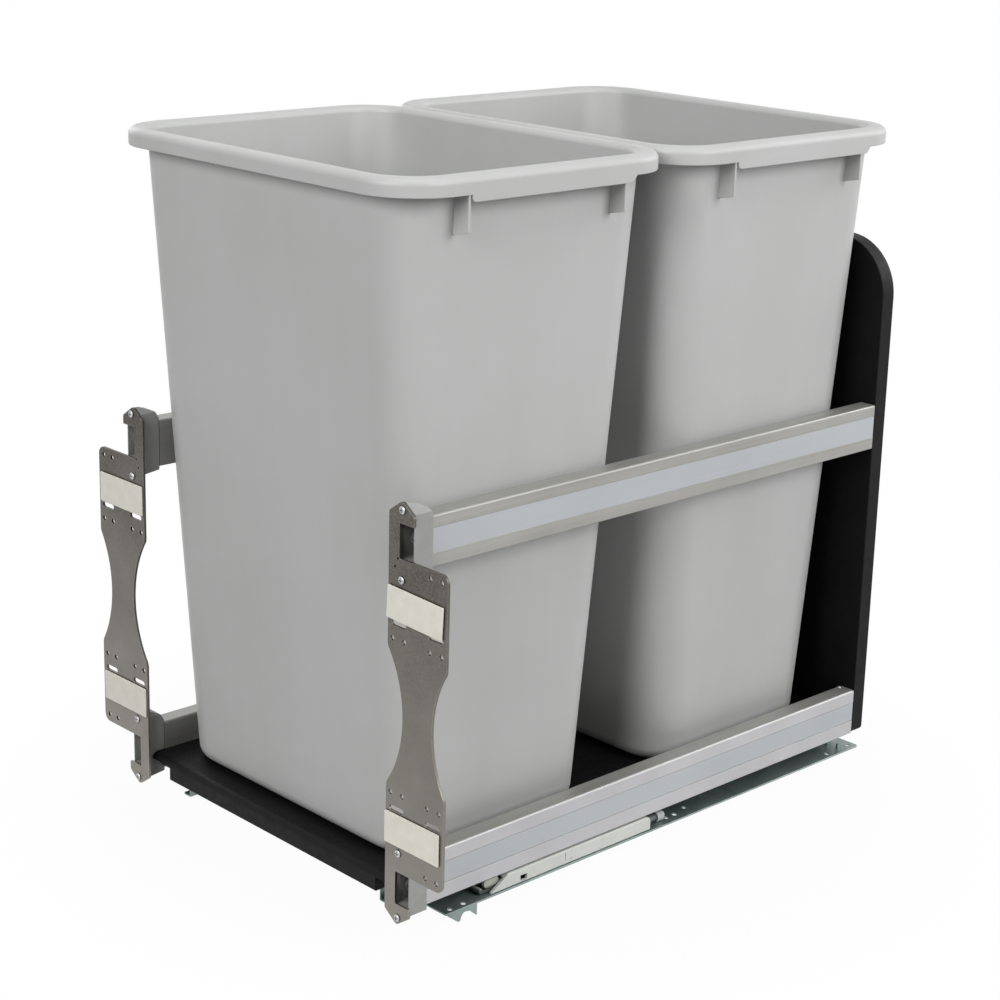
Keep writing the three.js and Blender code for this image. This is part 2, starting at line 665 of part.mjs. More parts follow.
Object.entries(levels).forEach(([height, level]) => {
  const middle = (level.bottom + level.top) / 2;
  const notchMiddle = (notch[height][0] + notch[height][1]) / 2;
  addPair(`${height}_rail`, rail(level), 'rail');
  addPair(`${height}_rail_inlay`, inlay(level), 'inlay');
  addPair(`${height}_end_cap`, endCap(level, screwHeights[height], notch[height]), 'cap');
  const adjuster = screw(
    adjusterX, notchMiddle, capFront + POCKET_DEPTH - SEAT, CAP_SCREW_RADIUS, CAP_SCREW_HEAD_HEIGHT,
    CAP_SCREW_RADIUS * 0.5, SEAT * 0.5,
  );
  addPair(`${height}_cap_adjuster`, adjuster, 'screw');

  const plugHole = bar(
    hollowX, middle, PANEL_SCREW_RADIUS + SCREW_CLEARANCE, railRear - PLUG_LENGTH - 1, railRear + 1,
  );
  const plug = block(
    hollowInner + SEAT, hollowOuter - SEAT, railRear - PLUG_LENGTH, railRear,
    level.bottom + RAIL_WALL + SEAT, level.top - RAIL_WALL - SEAT,
  );
  addPair(`${height}_rail_plug`, cut(plug, plugHole), 'cap');
  const headSeat = panelRear - PANEL_SCREW_HEAD_HEIGHT - SEAT;
  const panelScrew = screw(
    hollowX, middle, headSeat, PANEL_SCREW_HEAD_RADIUS, PANEL_SCREW_HEAD_HEIGHT,
    PANEL_SCREW_RADIUS, headSeat - railRear + PANEL_SCREW_BITE, -1,
  );
  addPair(`${height}_panel_screw`, panelScrew, 'screw');
});

// ---------------------------------------------------------------------------------------------------
// Door brackets, pads and bracket screws
// ---------------------------------------------------------------------------------------------------

function bracketOutline() {
  const inner = bracketInner;
  const tab = inner + TAB_WIDTH;
  const outer = inner + PLATE_WIDTH;
  const top = bracketTop;
  const bottom = bracketBottom;
  const [notchLow, notchHigh] = notch.upper;
  const [lowNotchLow, lowNotchHigh] = notch.lower;
  const middle = bracketMiddle;
  const innerHalf = top - PIN_HOLE_DROP - middle - WAIST_INNER.start;
  const outerHalf = top - PIN_HOLE_DROP - middle - WAIST_OUTER.start;
  return outline([
    [inner, bottom + SHOULDER_DROP, 3],
    [bracketTipX, bottom, HEAD_RADIUS],
    [tab, bottom + SHOULDER_DROP, 3],
    [tab, lowNotchLow],
    [notch.x, lowNotchLow],
    [notch.x, lowNotchHigh],
    [tab, lowNotchHigh],
    [outer, lowNotchHigh, PLATE_CORNER_RADIUS],
    ...waist(outer, middle - outerHalf, middle + outerHalf, -WAIST_OUTER.depth),
    [outer, notchLow, PLATE_CORNER_RADIUS],
    [tab, notchLow],
    [notch.x, notchLow],
    [notch.x, notchHigh],
    [tab, notchHigh],
    [tab, top - SHOULDER_DROP, 3],
    [bracketTipX, top, HEAD_RADIUS],
    [inner, top - SHOULDER_DROP, 3],
    ...waist(inner, middle - innerHalf, middle + innerHalf, WAIST_INNER.depth).reverse(),
  ], 3);
}

function bracketHoles() {
  const inner = bracketInner;
  const bothEnds = (drop) => [bracketBottom + drop, bracketTop - drop];
  const round = (xs, drop, radius) => bothEnds(drop).flatMap((z) => (
    xs.map((x) => circle(inner + x, z, radius, 8))
  ));
  const slots = bothEnds(SLOT_DROP).flatMap((z) => SLOT_X.map((x) => {
    const centre = inner + x;
    const low = z - SLOT_WIDTH / 2;
    return rectangle(
      centre - SLOT_LENGTH / 2, low, centre + SLOT_LENGTH / 2, low + SLOT_WIDTH, SLOT_WIDTH / 2, 3,
    );
  }));
  const screwHoles = [...screwHeights.upper, ...screwHeights.lower].map((z) => (
    circle(screwX, z, SCREW_RADIUS + SCREW_CLEARANCE + 0.2)
  ));
  const dimples = DIMPLE_X.map((x, i) => (
    circle(inner + x, bracketTop - DIMPLE_DROP[i], DIMPLE_RADIUS, 6)
  ));
  return [
    ...round(PIN_HOLE_X, PIN_HOLE_DROP, PIN_HOLE_RADIUS),
    ...round(TOP_HOLE_X, TOP_HOLE_DROP, PIN_HOLE_RADIUS),
    ...slots, ...screwHoles, ...dimples,
  ];
}

function doorBracket() {
  const plate = alongY(bracketOutline(), bracketFront, bracketRear, bracketHoles());
  const lips = [notch.upper, notch.lower].map(([low, high]) => {
    const middle = (low + high) / 2;
    return block(
      notch.x - LIP_THICKNESS, notch.x, bracketFront + 1, bracketRear + LIP_LENGTH,
      middle - LIP_HEIGHT / 2, middle + LIP_HEIGHT / 2,
    );
  });
  return join(plate, ...lips);
}

addPair('door_bracket', doorBracket(), 'bracket');

const padX = bracketInner + (PLATE_WIDTH - 3) / 2;
['upper', 'lower'].forEach((height, i) => {
  const z = i === 0 ? bracketTop - PAD_DROP : bracketBottom + PAD_DROP;
  const pad = block(
    padX - PAD_WIDTH / 2, padX + PAD_WIDTH / 2, padFront, padRear, z - PAD_HEIGHT / 2, z + PAD_HEIGHT / 2,
  );
  addPair(`${height}_door_pad`, pad, 'pad');
});

[...screwHeights.upper, ...screwHeights.lower].forEach((z, i) => {
  const length = capFront - padRear + SCREW_BITE;
  const piece = screw(screwX, z, padRear, SCREW_HEAD_RADIUS, SCREW_HEAD_HEIGHT, SCREW_RADIUS, length);
  addPair(`bracket_screw_${i + 1}`, piece, 'screw');
});

// ---------------------------------------------------------------------------------------------------
// Bins: tapered thin-walled tubs with a turned-down rim, a deeper grip and gusset fins on the sides
// ---------------------------------------------------------------------------------------------------

const CORNER_STEPS = 8;
const rimUnderside = BIN_HEIGHT - RIM_THICKNESS;
const base = { x: boardHalfWidth - BIN_BASE_INSET_X, y: rimHalfY - BIN_BASE_INSET_Y, r: BIN_CORNER_BASE };
const mouth = { x: rimHalfX - RIM_OVERHANG.x, y: rimHalfY - RIM_OVERHANG.y, r: BIN_CORNER_TOP };

// Half width, half depth and corner radius of the tapered wall at a height, moved in by inset
function wallAt(z, inset) {
  const share = z / rimUnderside;
  const [x, y, r] = ['x', 'y', 'r'].map((key) => THREE.MathUtils.lerp(base[key], mouth[key], share));
  return { x: x - inset, y: y - inset, r: r - inset, z };
}

function binRing({ x, y, r, z }) {
  const quarter = Array.from({ length: CORNER_STEPS + 1 }, (_, k) => (Math.PI / 2) * (k / CORNER_STEPS));
  const centres = [[x - r, y - r], [r - x, y - r], [r - x, r - y], [x - r, r - y]];
  return centres.flatMap(([cx, cy], i) => quarter.map((angle) => {
    const turn = angle + (i * Math.PI) / 2;
    return new THREE.Vector3(cx + r * Math.cos(turn), cy + r * Math.sin(turn), z);
  }));
}

// Quarter arc of [inset, height] pairs for the rounding of radius r between a floor and a wall
function coveSteps(radius, count) {
  return Array.from({ length: count + 1 }, (_, k) => {
    const angle = (Math.PI / 2) * (k / count);
    return [radius * (1 - Math.sin(angle)), radius * (1 - Math.cos(angle))];
  });
}

function binShell() {
  const rim = (inset, z) => ({ x: rimHalfX - inset, y: rimHalfY - inset, r: RIM_CORNER_RADIUS - inset, z });
  const outside = coveSteps(BIN_BASE_RADIUS, 4).map(([inset, z]) => wallAt(z, inset));
  const edge = coveSteps(RIM_EDGE_RADIUS, 3);
  const rimOutside = edge.map(([inset, drop]) => rim(drop, BIN_HEIGHT - inset));
  const rimInside = edge.map(([inset, drop]) => wallAt(BIN_HEIGHT - drop, BIN_WALL - inset));
  const coveRadius = BIN_BASE_RADIUS - BIN_WALL;
  const inside = coveSteps(coveRadius, 4)
    .map(([inset, z]) => wallAt(BIN_FLOOR + z, BIN_WALL + inset)).reverse();
  const profile = [
    ...outside,
    wallAt(rimUnderside, 0),
    rim(RIM_THICKNESS, rimUnderside),
    rim(RIM_THICKNESS, BIN_HEIGHT - RIM_DROP),
    rim(0, BIN_HEIGHT - RIM_DROP),
    ...rimOutside,
    ...rimInside,
    ...inside,
  ];
  return loft(profile.map(binRing));
}

function bin() {
  const finBottom = rimUnderside - FIN_HEIGHT;
  const finOuter = rimHalfX - RIM_THICKNESS / 4;
  const finRoot = (z) => wallAt(z, BIN_WALL / 2).x;
  const finFace = outline([
    [finRoot(finBottom), finBottom],
    [finOuter, finBottom + FIN_RISE],
    [finOuter, rimUnderside + RIM_THICKNESS / 2],
    [finRoot(rimUnderside), rimUnderside + RIM_THICKNESS / 2],
  ]);
  const fins = [-1, 1].map((side) => {
    const y = (side * FIN_SPREAD) / 2;
    return alongY(finFace, y - FIN_THICKNESS / 2, y + FIN_THICKNESS / 2);
  });
  const gripTop = BIN_HEIGHT - RIM_DROP + 1;
  const gripBottom = BIN_HEIGHT - RIM_DROP - GRIP_DROP;
  const gripFront = GRIP_FRONT_INSET - FIN_SPREAD / 2;
  const gripRear = GRIP_REAR_REACH + FIN_SPREAD / 2;
  const grip = alongX(outline([
    [gripFront, gripBottom, GRIP_CORNER_RADIUS],
    [gripRear, gripBottom, GRIP_CORNER_RADIUS / 2],
    [gripRear + GRIP_DROP, gripBottom + GRIP_DROP],
    [gripRear + GRIP_DROP, gripTop],
    [gripFront, gripTop],
  ]), rimHalfX - RIM_THICKNESS, rimHalfX);
  const sidePieces = [...fins, grip];
  return join(binShell(), ...sidePieces, ...sidePieces.map(mirrored));
}

const binGeometry = bin();
add('front_bin', binGeometry, 'bin').position.set(0, frontBinY, binBottom);
add('rear_bin', binGeometry.clone(), 'bin').position.set(0, rearBinY, binBottom);

// ---------------------------------------------------------------------------------------------------
// Ball slides, right-hand one
// ---------------------------------------------------------------------------------------------------

const webInner = slideX + CHANNEL_WEB_OFFSET;
const mouthX = slideX + CHANNEL_MOUTH;

function cabinetMember() {
  const webOuter = webInner + SHEET;
  const channel = outline([
    [mouthX, PRONG_DEPTH],
    [webOuter, PRONG_DEPTH],
    [webOuter, cabinetTop, 1],
    [mouthX, cabinetTop],
    [mouthX, channelTop - CHANNEL_LIP],
    [mouthX + MEMBER_SHEET, channelTop - CHANNEL_LIP],
    [mouthX + MEMBER_SHEET, channelTop],
    [webInner, channelTop],
    [webInner, flangeTop],
    [mouthX + MEMBER_SHEET, flangeTop],
    [mouthX + MEMBER_SHEET, flangeTop + CHANNEL_LIP],
    [mouthX, flangeTop + CHANNEL_LIP],
  ]);
  const flange = outline([
    [webInner, slideFront],
    [flangeOuter, slideFront],
    [flangeOuter, slideRear, FLANGE_CORNER_RADIUS],
    [webInner, slideRear],
  ]);
  const holes = FLANGE_HOLES.map(([inset, y, radius]) => circle(flangeOuter - inset, y, radius, 10));
  const prongs = outline(PRONG_OUTLINE.map(([back, share]) => (
    [slideFront + back, PRONG_DEPTH * (1 - share) + (share === 0 ? SHEET / 2 : 0)]
  )));
  const posts = POSTS.map(([inset, y]) => (
    alongZ(circle(flangeOuter - inset, y, POST_RADIUS, 8), flangeTop - SHEET / 2, flangeTop + POST_HEIGHT)
  ));
  return join(
    alongY(channel, slideFront, slideRear),
    alongZ(flange, PRONG_DEPTH, flangeTop, holes),
    alongX(prongs, flangeOuter - SHEET, flangeOuter),
    ...posts,
  );
}

function intermediateMember() {
  const half = MEMBER_SHEET / 2;
  const left = slideX - MEMBER_HALF_WIDTH;
  const right = slideX + MEMBER_HALF_WIDTH;
  const section = outline([
    [left, memberBottom],
    [right, memberBottom],
    [right, memberBottom + MEMBER_SHEET],
    [slideX + half, memberBottom + MEMBER_SHEET],
    [slideX + half, memberTop - MEMBER_SHEET],
    [right, memberTop - MEMBER_SHEET],
    [right, memberTop],
    [left, memberTop],
    [left, memberTop - MEMBER_SHEET],
    [slideX - half, memberTop - MEMBER_SHEET],
    [slideX - half, memberBottom + MEMBER_SHEET],
    [left, memberBottom + MEMBER_SHEET],
  ]);
  return alongY(section, railFront + INTERMEDIATE_FRONT, railRear - MEMBER_REAR);
}

function drawerMember() {
  const face = slideX - CHANNEL_WEB_OFFSET;
  const back = face - MEMBER_SHEET;
  const edge = slideX - CHANNEL_MOUTH;
  const mountingEdge = back - MOUNTING_WIDTH;
  const section = outline([
    [back, flangeTop - MEMBER_SHEET],
    [edge, flangeTop - MEMBER_SHEET],
    [edge, flangeTop + CHANNEL_LIP],
    [edge - MEMBER_SHEET, flangeTop + CHANNEL_LIP],
    [edge - MEMBER_SHEET, flangeTop],
    [face, flangeTop],
    [face, channelTop],
    [edge - MEMBER_SHEET, channelTop],
    [edge - MEMBER_SHEET, channelTop - CHANNEL_LIP],
    [edge, channelTop - CHANNEL_LIP],
    [edge, channelTop + MEMBER_SHEET],
    [face, channelTop + MEMBER_SHEET],
    [face, deckTop],
    [mountingEdge, deckTop],
    [mountingEdge, deckBottom],
    [back, deckBottom],
  ]);
  const pegX = housingX - PEG_OFFSET_X;
  const arm = outline([
    [back, pegY - ARM_LENGTH / 2],
    [pegX + PEG_RADIUS * 2, pegY - ARM_LENGTH / 2, 4],
    [pegX + PEG_RADIUS * 2, pegY + ARM_LENGTH / 2, 4],
    [back, pegY + ARM_LENGTH / 2],
  ]);
  return join(
    alongY(section, railFront + DRAWER_MEMBER_FRONT, railRear - MEMBER_REAR),
    alongZ(arm, deckBottom, deckTop),
    alongZ(circle(pegX, pegY, PEG_RADIUS, 12), catchTop + PEG_PLAY, deckBottom + MEMBER_SHEET / 2),
  );
}

// Ball cage on the side of the slide that points to +X (side 1) or to -X (side -1)
function ballCage(side, { front, length }) {
  const tip = MEMBER_HALF_WIDTH + CAGE_GAP;
  const at = (offset) => slideX + side * offset;
  const inner = CHANNEL_MOUTH + MEMBER_SHEET + CAGE_GAP;
  const section = [
    [at(inner), lowerBallZ - CAGE_SHEET / 2],
    [at(tip + CAGE_WEB), lowerBallZ - CAGE_SHEET / 2],
    [at(tip + CAGE_WEB), upperBallZ + CAGE_SHEET / 2],
    [at(inner), upperBallZ + CAGE_SHEET / 2],
    [at(inner), upperBallZ - CAGE_SHEET / 2],
    [at(tip), upperBallZ - CAGE_SHEET / 2],
    [at(tip), lowerBallZ + CAGE_SHEET / 2],
    [at(inner), lowerBallZ + CAGE_SHEET / 2],
  ];
  const strip = alongY(outline(side > 0 ? section : section.reverse()), front, front + length);
  const pitch = length / BALLS_PER_ROW;
  const balls = [lowerBallZ, upperBallZ].flatMap((z) => (
    Array.from({ length: BALLS_PER_ROW }, (_, k) => {
      const y = front + pitch * (k + 0.5);
      return new THREE.SphereGeometry(BALL_RADIUS, 6, 4).translate(at(ballX), y, z);
    })
  ));
  return join(strip, ...balls);
}

addPair('slide_cabinet_member', cabinetMember(), 'slide');
addPair('slide_intermediate_member', intermediateMember(), 'slide');
addPair('slide_drawer_member', drawerMember(), 'slide');
addPair('outer_ball_cage', ballCage(1, OUTER_CAGE), 'cage');
addPair('inner_ball_cage', ballCage(-1, INNER_CAGE), 'cage');

// ---------------------------------------------------------------------------------------------------
// Soft close, right-hand one: housing, damper barrel and rod, and the catch that takes the peg
// ---------------------------------------------------------------------------------------------------

function softCloseHousing() {
  const left = housingX - HOUSING_WIDTH / 2;
  const right = housingX + HOUSING_WIDTH / 2;
  const section = outline([
    [left, housingBottom],
    [right, housingBottom],
    [right, cabinetTop, HOUSING_EDGE_RADIUS],
    [left, cabinetTop, HOUSING_EDGE_RADIUS],
  ], 3);
  const cavity = block(
    left + HOUSING_WALL, right - HOUSING_WALL, housingFront - 1, cavityRear,
    housingBottom - 1, cabinetTop - HOUSING_WALL,
  );
  const bore = bar(damperX, damperZ, BARREL_RADIUS + BARREL_PLAY, cavityRear - 1, housingRear + 1, 16);
  const windowFront = housingFront + INDEX_HOLE.start;
  const window = block(
    right - HOUSING_WALL - 1, right + 1, windowFront, windowFront + INDEX_HOLE.length,
    housingBottom + 1.2, housingBottom + 1.2 + INDEX_HOLE.height,
  );
  const slant = alongX(outline([
    [housingFront, housingBottom + 1],
    [housingFront + HOUSING_SLANT, cabinetTop + 1],
    [housingFront - 1, cabinetTop + 1],
    [housingFront - 1, housingBottom + 1],
  ]), left - 1, right + 1);
  return cut(alongY(section, housingFront, housingRear), cavity, bore, window, slant);
}

function damperBarrel() {
  const collarFront = housingRear + COLLAR_GAP;
  const neck = BARREL_RADIUS - 1;
  const tail = housingRear + BARREL_TAIL;
  const bore = ROD_RADIUS + ROD_PLAY;
  return turned([
    [0, housingRear],
    [bore, housingRear],
    [bore, barrelFront],
    [BARREL_RADIUS - 0.6, barrelFront],
    [BARREL_RADIUS, barrelFront + 0.6],
    [BARREL_RADIUS, housingRear + SEAT],
    [neck, housingRear + SEAT],
    [neck, collarFront],
    [COLLAR_RADIUS, collarFront],
    [COLLAR_RADIUS, collarFront + COLLAR_LENGTH],
    [neck, collarFront + COLLAR_LENGTH + 0.5],
    [neck, tail],
    [0, tail],
  ], damperX, damperZ, 14);
}

const rodSeat = catchRear - 10; // how deep the rod sits in the catch

function softCloseCatch() {
  const pocketFloor = catchTop - CATCH_POCKET.depth;
  const side = outline([
    [catchFront, housingBottom, 1],
    [catchRear, housingBottom],
    [catchRear, catchTop, 1],
    [catchPocketRear, catchTop, 1],
    [catchPocketRear, pocketFloor, 1.5],
    [catchPocketFront, pocketFloor, 1.5],
    [catchPocketFront, catchTop, 1],
    [catchFront, catchTop, 3],
  ], 3);
  const left = housingX - CATCH_WIDTH / 2;
  const right = housingX + CATCH_WIDTH / 2;
  const body = alongX(side, left, right);
  const fin = alongX(outline([
    [catchFront + 0.5, catchTop - 2],
    [catchFront + 0.5 + CATCH_FIN_LENGTH, catchTop - 2],
    [catchFront + 0.5 + CATCH_FIN_LENGTH, catchTop + CATCH_FIN_RISE, 2],
    [catchFront + 4, catchTop + CATCH_FIN_RISE, 2],
  ], 3), right - CATCH_FIN_WIDTH, right);
  const rodHole = bar(damperX, damperZ, ROD_RADIUS + ROD_PLAY, rodSeat - SEAT, catchRear + 1, 10);
  return cut(join(body, fin), rodHole);
}

addPair('soft_close_housing', softCloseHousing(), 'housing');
addPair('damper_barrel', damperBarrel(), 'cage');
addPair('damper_rod', bar(damperX, damperZ, ROD_RADIUS, rodSeat, housingFront + ROD_REACH, 10), 'screw');
addPair('soft_close_catch', softCloseCatch(), 'housing');

// ---------------------------------------------------------------------------------------------------

const group = new THREE.Group();
group.name = 'pull_out_waste_unit';
unit.position.y = -(frontBinY - rimHalfY + panelRear) / 2;
group.add(unit);

export default group;
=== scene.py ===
import math

import bmesh
import bpy
from mathutils import Matrix, Vector


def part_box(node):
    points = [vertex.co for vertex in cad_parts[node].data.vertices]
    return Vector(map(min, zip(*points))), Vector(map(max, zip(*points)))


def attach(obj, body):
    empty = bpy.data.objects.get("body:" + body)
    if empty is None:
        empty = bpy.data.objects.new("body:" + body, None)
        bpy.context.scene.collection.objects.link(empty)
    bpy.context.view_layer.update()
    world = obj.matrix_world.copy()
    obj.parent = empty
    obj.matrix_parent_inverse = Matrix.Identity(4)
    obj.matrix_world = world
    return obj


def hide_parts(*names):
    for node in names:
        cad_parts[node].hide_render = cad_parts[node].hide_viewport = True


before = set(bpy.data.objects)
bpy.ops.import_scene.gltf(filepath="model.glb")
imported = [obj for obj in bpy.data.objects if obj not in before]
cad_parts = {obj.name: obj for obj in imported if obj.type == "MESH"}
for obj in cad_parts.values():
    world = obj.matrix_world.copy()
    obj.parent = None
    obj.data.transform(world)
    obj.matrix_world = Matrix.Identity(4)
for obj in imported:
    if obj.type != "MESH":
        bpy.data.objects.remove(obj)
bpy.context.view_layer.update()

scene = bpy.context.scene

# Sizes below are millimetres in the unit's own axes: X from its middle to the right, Y from the middle of
# the rails into the cabinet, Z up from the slides' lowest points. The middle of the rails lies here:
rail_low, rail_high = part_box("upper_rail_right")
RAIL_MIDDLE_Y = (rail_low.y + rail_high.y) / 2
IN_FRAME = Matrix.Translation((0, RAIL_MIDDLE_Y, 0)) @ Matrix.Scale(0.001, 4)


# --------------------------------------------------
# Camera, floor and light
# A catalogue picture of the unit alone: a long lens from the front right, a little above the bins, on a
# white floor that runs up into a white background. Soft lamps stand on its four sides and hang over it.

# The lens, its shift and the camera's place come from fitting the unit's straight edges in its photograph.
CAMERA_PLACE = (1344.25, -1305.43, 829.53)
azimuth, elevation, roll = math.radians(45.80), math.radians(15.96), math.radians(1.67)
toward_camera = Vector((
    math.sin(azimuth) * math.cos(elevation), -math.cos(azimuth) * math.cos(elevation), math.sin(elevation),
))
level_right = Vector((math.cos(azimuth), math.sin(azimuth), 0))
level_up = toward_camera.cross(level_right)
right = math.cos(roll) * level_right + math.sin(roll) * level_up
up = math.cos(roll) * level_up - math.sin(roll) * level_right
camera_data = bpy.data.cameras.new("camera")
camera_data.sensor_width = 36
camera_data.lens = 80.15
camera_data.shift_x = -0.0212
camera_data.shift_y = -0.0361
camera_data.clip_start = 0.05
camera = bpy.data.objects.new("camera", camera_data)
scene.collection.objects.link(camera)
turn = Matrix((right, up, toward_camera)).transposed().to_4x4()
camera.matrix_world = IN_FRAME @ Matrix.Translation(CAMERA_PLACE) @ Matrix.Scale(1000, 4) @ turn
scene.camera = camera

scene.view_settings.view_transform = "Standard"


def set_inputs(tree, node, inputs):
    """Sets a node's inputs, by name or number, to values or to other nodes' outputs."""
    for slot, value in dict(inputs).items():
        if isinstance(value, bpy.types.NodeSocket):
            tree.links.new(value, node.inputs[slot])
        else:
            node.inputs[slot].default_value = value


def add_node(tree, kind, inputs=()):
    node = tree.nodes.new("ShaderNode" + kind)
    set_inputs(tree, node, inputs)
    return node


def rays_that_see(tree):
    """1 for the rays that show the background: from the camera, off gloss and through glass."""
    rays = add_node(tree, "LightPath")
    share = rays.outputs["Is Camera Ray"]
    for kind in ("Is Glossy Ray", "Is Transmission Ray"):
        either = add_node(tree, "Math", {0: share, 1: rays.outputs[kind]})
        either.operation = "MAXIMUM"
        share = either.outputs[0]
    return share


# Rays that see past the unit meet plain white, and rays that only light it meet a dim surround.
WHITE, SURROUND_STRENGTH = (1, 1, 1, 1), 0.06
world = bpy.data.worlds.new("studio")
world.use_nodes = True
scene.world = world
world_tree = world.node_tree
surround = world_tree.nodes["Background"]
set_inputs(world_tree, surround, {"Color": WHITE, "Strength": SURROUND_STRENGTH})
seen = add_node(world_tree, "Background", {"Color": WHITE, "Strength": 1.0})
world_mix = add_node(world_tree, "MixShader", {
    0: rays_that_see(world_tree), 1: surround.outputs[0], 2: seen.outputs[0],
})
set_inputs(world_tree, world_tree.nodes["World Output"], {"Surface": world_mix.outputs[0]})

# The floor is seen as a white glow with a few hundredths of a plain surface in it, which take the unit's
# faint shadow. Other rays meet a grey floor, so that it throws little light up.
FLOOR_HALF, FLOOR_LEVEL = 6, -0.0005
GREY_MIDDLE, GREY_NEAR, GREY_FAR = (0.7, 0.3, 0), 0.42, 0.1
GLOW_MIDDLE, GLOW_NEAR, GLOW_FAR = (0, 0, 0), 0.97, 1.0

floor_mesh = bpy.data.meshes.new("floor")
floor_corners = [(FLOOR_HALF * a, FLOOR_HALF * b, 0) for a, b in ((-1, -1), (1, -1), (1, 1), (-1, 1))]
floor_mesh.from_pydata(floor_corners, [], [(0, 1, 2, 3)])
floor_piece = bpy.data.objects.new("floor", floor_mesh)
floor_piece.location.z = FLOOR_LEVEL
scene.collection.objects.link(floor_piece)
floor_finish = bpy.data.materials.new("white_floor")
floor_finish.use_nodes = True
floor_tree = floor_finish.node_tree
floor_place = add_node(floor_tree, "TexCoord").outputs["Object"]


def over_floor(middle, near, far, start, end):
    """Number that is near up to start metres from a point of the floor, and far beyond end."""
    reach = add_node(floor_tree, "VectorMath", {0: floor_place, 1: middle})
    reach.operation = "DISTANCE"
    change = add_node(floor_tree, "MapRange", {
        "Value": reach.outputs["Value"], "From Min": start, "From Max": end, "To Min": near, "To Max": far,
    })
    change.interpolation_type = "SMOOTHSTEP"
    return change.outputs["Result"]


floor_shader = floor_tree.nodes["Principled BSDF"]
set_inputs(floor_tree, floor_shader, {
    "Base Color": over_floor(GREY_MIDDLE, GREY_NEAR, GREY_FAR, 0.6, 1.8), "Roughness": 0.9,
})
floor_glow = add_node(floor_tree, "Emission", {"Strength": 1.0})
floor_share = add_node(floor_tree, "Math", {
    0: rays_that_see(floor_tree), 1: over_floor(GLOW_MIDDLE, GLOW_NEAR, GLOW_FAR, 0.3, 0.5),
})
floor_share.operation = "MULTIPLY"
floor_mix = add_node(floor_tree, "MixShader", {
    0: floor_share.outputs[0], 1: floor_shader.outputs[0], 2: floor_glow.outputs[0],
})
set_inputs(floor_tree, floor_tree.nodes["Material Output"], {"Surface": floor_mix.outputs[0]})
floor_mesh.materials.append(floor_finish)


LIT_POINT = Vector((0, 0, 0.3))


def soft_light(name, place, size, power):
    """A square soft lamp at place, in metres, that faces the unit's middle."""
    data = bpy.data.lights.new(name, "AREA")
    data.size = size
    data.energy = power
    lamp = bpy.data.objects.new(name, data)
    lamp.location = place
    lamp.rotation_mode = "QUATERNION"
    lamp.rotation_quaternion = (LIT_POINT - Vector(place)).to_track_quat("-Z", "Y")
    scene.collection.objects.link(lamp)


soft_light("front_light", (0.5, -2.4, 1.6), 1.4, 43)
soft_light("right_light", (2.4, 0.5, 1.65), 1.4, 43)
soft_light("left_light", (-2.4, 0.2, 1.3), 1.4, 11)
soft_light("rear_light", (0.9, 2.5, 1.3), 1.4, 24)
soft_light("top_light", (0.2, -0.1, 2.8), 1.8, 17)


# --------------------------------------------------
# Base board
# The board under the bins: particle board in black laminate, its front edge rounded over, with a cove
# milled under each front corner. The drawer members of the slides are screwed to it from below.

def rounded(points, steps=5):
    """Closed outline through (a, b) points. A third number rounds that corner."""
    path = []
    for i, (a, b, *radius) in enumerate(points):
        corner = Vector((a, b))
        if not radius or radius[0] == 0:
            path.append(corner)
            continue
        before = Vector(points[i - 1][:2]) - corner
        after = Vector(points[(i + 1) % len(points)][:2]) - corner
        room = 0.49 * min(before.length, after.length)
        before.normalize()
        after.normalize()
        half = before.angle(after) / 2
        reach = min(radius[0] / math.tan(half), room)
        centre = corner + (before + after).normalized() * reach / math.cos(half)
        start, end = corner + before * reach - centre, corner + after * reach - centre
        sweep = math.atan2(start.cross(end), start.dot(end))
        path += [centre + Matrix.Rotation(sweep * k / steps, 2) @ start for k in range(steps + 1)]
    return path


def circle(a, b, radius, sides=20):
    """Outline of a circle about (a, b)."""
    angles = [2 * math.pi * k / sides for k in range(sides)]
    return [Vector((a + radius * math.cos(angle), b + radius * math.sin(angle))) for angle in angles]


# Turns that lay an outline of (a, b) points, run along Z, so that it runs along another axis instead.
ACROSS = {
    "X": Matrix(((0, 0, 1, 0), (1, 0, 0, 0), (0, 1, 0, 0), (0, 0, 0, 1))),
    "Y": Matrix(((1, 0, 0, 0), (0, 0, -1, 0), (0, 1, 0, 0), (0, 0, 0, 1))),
    "Z": Matrix.Identity(4),
}


def extruded(outline, low, high, axis, holes=(), edge=0.3, edge_steps=2):
    """Mesh of an outline with holes, run along an axis from low to high, its edges rounded by edge."""
    curve = bpy.data.curves.new("outline", "CURVE")
    curve.dimensions = "2D"
    curve.fill_mode = "BOTH"
    for loop in (outline, *holes):
        spline = curve.splines.new("POLY")
        spline.points.add(len(loop) - 1)
        spline.use_cyclic_u = True
        for point, at in zip(spline.points, loop):
            point.co = (at[0], at[1], 0, 1)
    curve.extrude = (high - low) / 2 - edge
    curve.bevel_depth = edge
    curve.bevel_resolution = edge_steps
    curve.offset = -edge
    holder = bpy.data.objects.new("outline", curve)
    mesh = bpy.data.meshes.new_from_object(holder)
    bpy.data.objects.remove(holder)
    bpy.data.curves.remove(curve)
    middle = {"X": Vector((1, 0, 0)), "Y": Vector((0, 1, 0)), "Z": Vector((0, 0, 1))}[axis] * (low + high) / 2
    mesh.transform(Matrix.Translation(middle) @ ACROSS[axis])
    welded = bmesh.new()
    welded.from_mesh(mesh)
    bmesh.ops.remove_doubles(welded, verts=welded.verts, dist=1e-4)
    bmesh.ops.recalc_face_normals(welded, faces=welded.faces)
    welded.to_mesh(mesh)
    welded.free()
    return mesh


